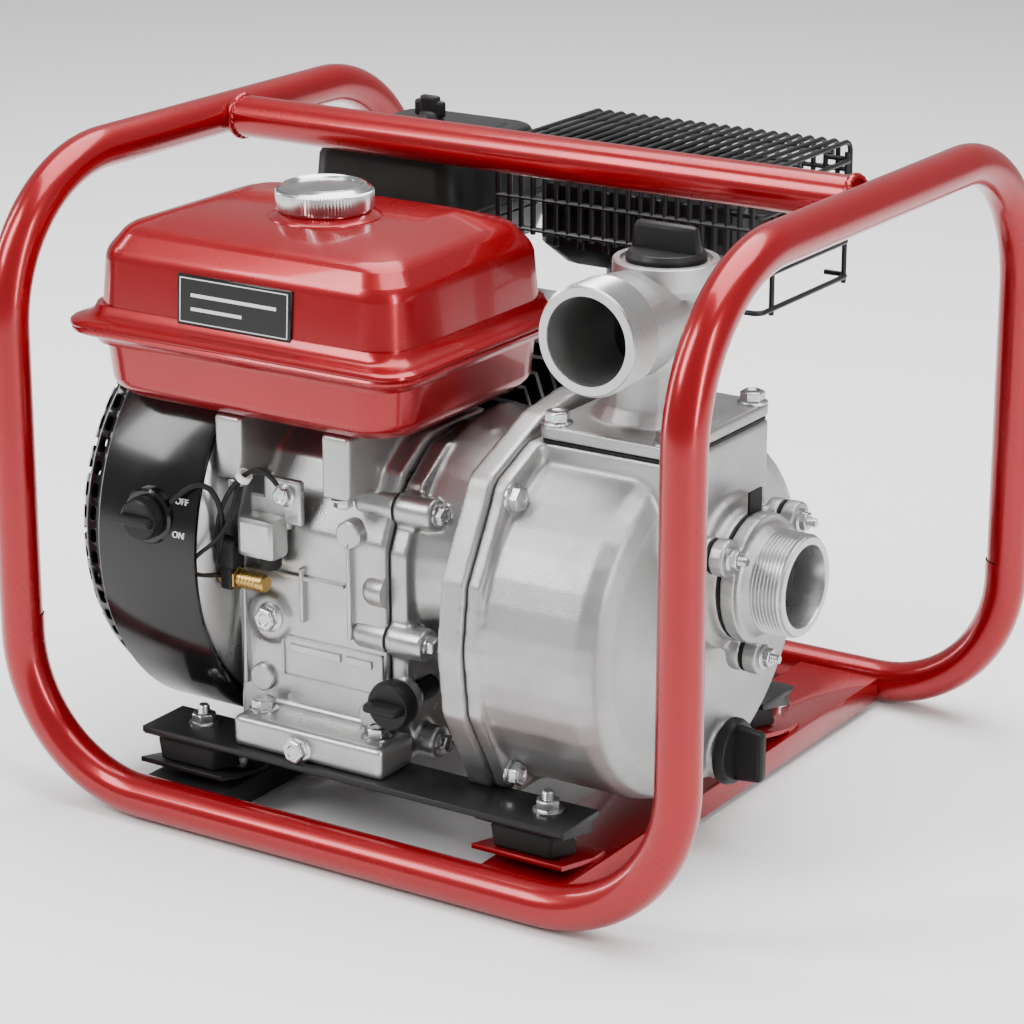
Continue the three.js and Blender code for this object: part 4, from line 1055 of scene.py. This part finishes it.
# ------------------------------------------------------------------ air cleaner and exhaust
@dataclass
class BreathingSide:
    """Air cleaner, carburettor, muffler and the wire guard."""

    bars: int = 22
    wire_r: float = 1.7

    def build(self) -> None:
        """Builds everything at the back of the engine."""
        dress(softened("air_cleaner_base", "cleaner_tray", 2.0, 3), PLASTIC, stands_for=("air_cleaner_base",))
        self._lid()
        keep(PAPER, "air_cleaner_element")
        dress(softened("carburettor", "carburettor_body", 1.2), DIE_CAST, stands_for=("carburettor",))
        dress(softened("choke_lever", "choke_arm", 0.6), PLASTIC, "choke", ("choke_lever",))
        dress(softened("fuel_lever", "fuel_arm", 0.6), PLASTIC, "fuel_tap", ("fuel_lever",))
        self._muffler()
        self._guard()

    @staticmethod
    def _lid() -> None:
        """The box lid with a raised pad, rim and wing nut."""
        low, high = map(Vector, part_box("air_cleaner_cover"))
        z0, z1 = low.z / MM, high.z / MM
        walls = [(z0, 0.5), (z0 + 1.5, 0), (z0 + 7, 0), (z0 + 8, 2), (z1 - 14, 4), (z1 - 3, 9), (z1 - 1.5, 12)]
        lid = rounded(stacked("lid", low, high, walls, 15, 8), 1.6, 3, 60)
        wing = middle("wing_nut")
        swell = [(z1 - 3, 18), (z1 - 0.8, 22), (z1 - 0.8, 44), (z1 - 2.0, 45)]
        pad = rounded(stacked("pad", low, high, swell, 6, 6), 0.8, 2)
        dress(joined("cleaner_lid", [lid, pad]), PLASTIC, stands_for=("air_cleaner_cover",))
        nut_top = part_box("wing_nut")[1][2] / MM
        base = z1 + 0.3
        hub = turned("hub", [(base, 9), (base + 3, 9), (base + 8, 6.5), (base + 9, 5)],
                     Vector((wing.x, wing.y, 0)), Z, 32)
        x, y, top = wing.x / MM, wing.y / MM, nut_top
        fins = [block("fin", (x - 11, y - 2.4, base + 5), (x + 11, y + 2.4, top - 3), 2.0),
                block("fin", (x - 7, y - 2.8, base + 3), (x + 7, y + 2.8, top), 2.2)]
        dress(joined("cleaner_wing_nut", [hub, *fins]), PLASTIC, "cleaner_wing", ("wing_nut",))

    @staticmethod
    def _muffler() -> None:
        """The pressed muffler with stiffening ribs."""
        body = softened("muffler", "muffler_shell", 3.0, 3)
        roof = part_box("muffler")[1][2] / MM
        ribs = [block("rib", (x, 62, roof - 3), (x + 5, 142, roof + 2.5), 1.4) for x in range(-16, 110, 18)]
        ribs += [block("rib", (x, 53.5, 312), (x + 5, 58, 350), 1.4) for x in range(-16, 110, 18)]
        dress(joined("muffler_shell", [body, *ribs]), BLACK_PAINT, stands_for=("muffler",))

    def _guard(self) -> None:
        """Bent guard wires over the muffler, one bar modelled and copied."""
        low, high = map(Vector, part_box("guard_top"))
        foot = Vector(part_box("guard_front")[0])
        r = self.wire_r
        top, y0, y1 = high.z - r * MM, foot.y + 2 * MM, high.y - 3 * MM
        rise, bend = top - foot.z, 7 * MM
        drop = 34 * MM
        bar = piped("bar", Vector((0, y0, foot.z + drop)), Z.copy(),
                    [rise - drop - bend, (Y, bend, 5), y1 - y0 - 2 * bend, (-Z, bend, 5), 14 * MM], r, 8)
        x0, x1 = low.x + 3 * MM, high.x - 3 * MM
        bars = []
        for k in range(self.bars):
            one = bar.copy()
            one.data = bar.data.copy()
            bpy.context.scene.collection.objects.link(one)
            one.data.transform(Matrix.Translation((x0 + (x1 - x0) * k / (self.bars - 1), 0, 0)))
            bars.append(one)
        bpy.data.objects.remove(bar)
        span = (x1 - x0) / MM
        for y, z in ((y0 / MM, foot.z / MM + 37), (y0 / MM, foot.z / MM + 56), (y0 / MM + 14, top / MM - 3),
                     (y0 / MM + 56, top / MM - 3), (y0 / MM + 98, top / MM - 3), (y1 / MM, top / MM - 18)):
            bars.append(turned("cross", [(-1, r), (span + 1, r)], Vector((x0, y * MM, z * MM)), X, 8))
        dress(joined("guard_wires", bars), BLACK_PAINT, stands_for=("guard_top", "guard_front"))
        side = []
        for z in (foot.z / MM + 4, foot.z / MM + 26, foot.z / MM + 62, foot.z / MM + 76):
            side.append(piped("side", Vector((x1 - 18 * MM, y0 + 8 * MM, z * MM)), X.copy(),
                              [14 * MM, (Y, 6 * MM, 5), y1 - y0 - 22 * MM, (-X, 6 * MM, 5), 10 * MM], r, 8))
        for y in (y0 + 24 * MM, y1 - 6 * MM):
            side.append(piped("side", Vector((x1 + 0.001, y, foot.z)), Z.copy(), [rise - 6 * MM], r, 8))
        dress(joined("guard_side_wires", side), BLACK_PAINT, stands_for=("guard_side",))


# ------------------------------------------------------------------ pump
@dataclass
class PumpUnit:
    """Pump casing, bracket, ports, plugs and their fasteners."""

    pitch: float = 2.3
    depth: float = 1.5

    def build(self) -> None:
        """Builds the pump from the engine outward."""
        dress(recast("pump_bracket", "adapter_casting", 1.7), CAST, stands_for=("pump_bracket",))
        dress(recast("pump_casing", "casing_casting", 1.8), CAST, stands_for=("pump_casing",))
        dress(recast("discharge_elbow", "outlet_casting", 1.3), CAST, stands_for=("discharge_elbow",))
        dress(recast("suction_nozzle", "inlet_casting", 1.0), CAST, stands_for=("suction_nozzle",))
        keep(RUBBER, "top_gasket", "suction_gasket", "check_flap")
        keep(CAST, "volute", "impeller")
        keep(STEEL, "mechanical_seal")
        self._threads()
        self._bolts()
        self._plugs()

    def _thread(self, name: str, centre: Vector, out: Vector, r: float, bore: float, start: float,
                end: float) -> None:
        """A threaded sleeve: ridges outside, machined bore inside.

        Args:
            name: the piece's name.
            centre: the port's centre at distance zero.
            out: the direction that the port faces.
            r: crest radius.
            bore: bore radius.
            start: where the thread begins.
            end: the port's end face.
        """
        root = r - self.depth
        rings = [(start, root)]
        count = int((end - 1.5 - start) / self.pitch)
        for k in range(count):
            near = start + k * self.pitch
            rings += [(near + self.pitch * 0.42, r), (near + self.pitch * 0.55, r), (near + self.pitch, root)]
        rings += [(end, root - 0.3), (end, bore + 0.4), (end - 1.0, bore - 0.1), (start, bore - 0.1)]
        rings.append((start, root))
        dress(ring(name, rings, centre, out, 72), MACHINED)

    def _threads(self) -> None:
        """The two hose threads."""
        suction_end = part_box("suction_nozzle")[1][0] / MM
        self._thread("suction_thread", at(0, -50, 168), X, 30.0, 23.9, 199, suction_end)
        discharge_end = -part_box("discharge_elbow")[0][1] / MM
        self._thread("discharge_thread", at(126, 0, 317), -Y, 32.0, 24.9, 112, discharge_end)
        section = [(330, 26.6), (334, 29.5), (336, 30.4), (347.5, 30.4), (348.4, 29.6), (348.4, 26.2),
                   (346.5, 25.4), (331, 25.4), (330, 26.6)]
        collar = ring("filler_collar", section, at(130, -58, 0), Z, 64)
        dress(collar, CAST)

    @staticmethod
    def _bolts() -> None:
        """Flange, top plate and port bolts."""
        flange = ((-148, 224), (-149, 60), (28, 226), (28, 58))
        Fasteners("casing_bolts").build([(at(86, y, z), X) for y, z in flange])
        plate = ((90, -108), (162, -108), (90, -13), (162, -13))
        Fasteners("top_plate_bolts").build([(at(x, y, 258), Z) for x, y in plate])
        pitch_circle = 47
        turns = [math.radians(angle) for angle in (30, 150, 270)]
        spots = [at(193, -50 + pitch_circle * math.cos(a), 168 + pitch_circle * math.sin(a)) for a in turns]
        Fasteners("suction_bolts", BoltSize.M6, stud=True).build([(spot, X) for spot in spots])

    @staticmethod
    def _fin_plug(name: str, node: str, body: str, seat: Vector, out: Vector, fin: Vector, disc: Profile,
                  sizes: tuple[float, float, float, float]) -> None:
        """A moulded plug: a turned disc with a finger fin across it.

        Args:
            name: the piece's name.
            node: the frame node it replaces.
            body: the body it turns with.
            seat: centre of the seat.
            out: the direction that the plug faces.
            fin: the fin's long direction.
            disc: the turned profile.
            sizes: the fin's half length, half width, root and tip distances.
        """
        half, thick, root, tip = sizes
        base = turned("disc", disc, seat, out, 56)
        rounded(base, 0.5, 2, 40)
        across = out.cross(fin)
        blade = block("fin", (-half, -thick, root), (half, thick, tip), min(thick * 0.8, 3.2))
        for vertex in blade.data.vertices:
            rise = (vertex.co.z / MM - root) / (tip - root)
            vertex.co.x *= 1.0 - 0.10 * rise
            vertex.co.y *= 1.0 - 0.22 * rise
        blade.data.transform(Matrix.Translation(seat) @ Matrix((fin, across, out)).transposed().to_4x4())
        dress(settle(joined(name, [base, blade]), 40), PLASTIC, body, (node,))

    def _plugs(self) -> None:
        """Filler plug, water drain and oil dipstick."""
        top = 347.0
        self._fin_plug("filler_plug", "priming_plug", "fill_plug", at(130, -58, 0), Z, X,
                       [(top - 16, 18), (top + 0.3, 18), (top + 0.3, 23), (top + 3, 23), (top + 6, 21)],
                       (22, 4.2, top + 3, top + 21))
        self._fin_plug("drain_knob", "drain_plug", "water_drain", at(0, -40, 54), X, Z,
                       [(156, 8.9), (166.3, 8.9), (166.3, 20), (170, 20), (173, 18.5)], (17, 5.2, 170, 190))
        self._fin_plug("oil_dipstick", "dipstick", "oil_plug", at(13, 0, 90), -Y, X,
                       [(122, 6), (156.3, 6), (156.3, 14), (164, 15), (168, 13.5)], (13, 3.2, 164, 177))


# ------------------------------------------------------------------ studio
@dataclass
class Studio:
    """Pale floor, soft lights and the camera."""

    eye: tuple[float, float, float] = (1.0520, -1.6488, 0.8054)
    azimuth: float = 32.78
    elevation: float = 18.28
    lens: float = 119.06

    def _light(self, name: str, place: tuple, size: tuple[float, float], power: float) -> None:
        """One soft rectangular light that faces the object."""
        lamp = bpy.data.lights.new(name, "AREA")
        lamp.shape, lamp.size, lamp.size_y, lamp.energy = "RECTANGLE", size[0], size[1], power
        holder = bpy.data.objects.new(name, lamp)
        bpy.context.scene.collection.objects.link(holder)
        holder.location = place
        aim = Vector((0, 0, 0.2)) - holder.location
        holder.rotation_euler = aim.to_track_quat("-Z", "Y").to_euler()

    def build(self) -> None:
        """Sets the stage."""
        bpy.ops.object.select_all(action="DESELECT")
        bpy.ops.mesh.primitive_plane_add(size=60, location=(0, 0, 0))
        floor = bpy.context.active_object
        floor.name = "floor"
        paper = Finish("floor_paper", "red_paint", (0.92, 0.92, 0.92), (0.90, 0.90, 0.90),
                       metallic=0.0, rough=0.8, spread=0.02, grain=60.0, depth_mm=0.05)
        floor.data.materials.append(paper.material())
        world = bpy.context.scene.world or bpy.data.worlds.new("studio")
        bpy.context.scene.world = world
        world.use_nodes = True
        sky = world.node_tree.nodes["Background"]
        sky.inputs["Color"].default_value, sky.inputs["Strength"].default_value = (1, 1, 1, 1), 0.45
        self._light("key_light", (-1.1, -1.7, 1.8), (0.7, 1.3), 48)
        self._light("right_strip", (2.0, -0.7, 0.9), (0.3, 1.6), 30)
        self._light("top_light", (0.1, 0.4, 2.3), (2.6, 2.0), 125)
        self._light("left_strip", (-1.9, -0.5, 0.7), (0.25, 1.5), 18)
        lens = bpy.data.cameras.new("camera")
        lens.lens, lens.sensor_width, lens.clip_start, lens.clip_end = self.lens, 36.0, 0.05, 50.0
        camera = bpy.data.objects.new("camera", lens)
        bpy.context.scene.collection.objects.link(camera)
        camera.location = self.eye
        camera.rotation_euler = (math.radians(90 - self.elevation), 0, math.radians(self.azimuth))
        bpy.context.scene.camera = camera


def clear_defaults() -> None:
    """Removes what a new Blender file holds besides the frame."""
    for name in ("Cube", "Light", "Camera"):
        if name in bpy.data.objects:
            bpy.data.objects.remove(bpy.data.objects[name])


def main() -> None:
    """Builds every sub-assembly in order."""
    logging.basicConfig(level=logging.INFO, format="%(message)s")
    clear_defaults()
    for unit in (Studio(), CarryFrame(), Base(), EngineBlock(), StarterEnd(), FuelTank(), BreathingSide(),
                 PumpUnit()):
        log.info("building %s", type(unit).__name__)
        unit.build()


if __name__ == "__main__":
    main()
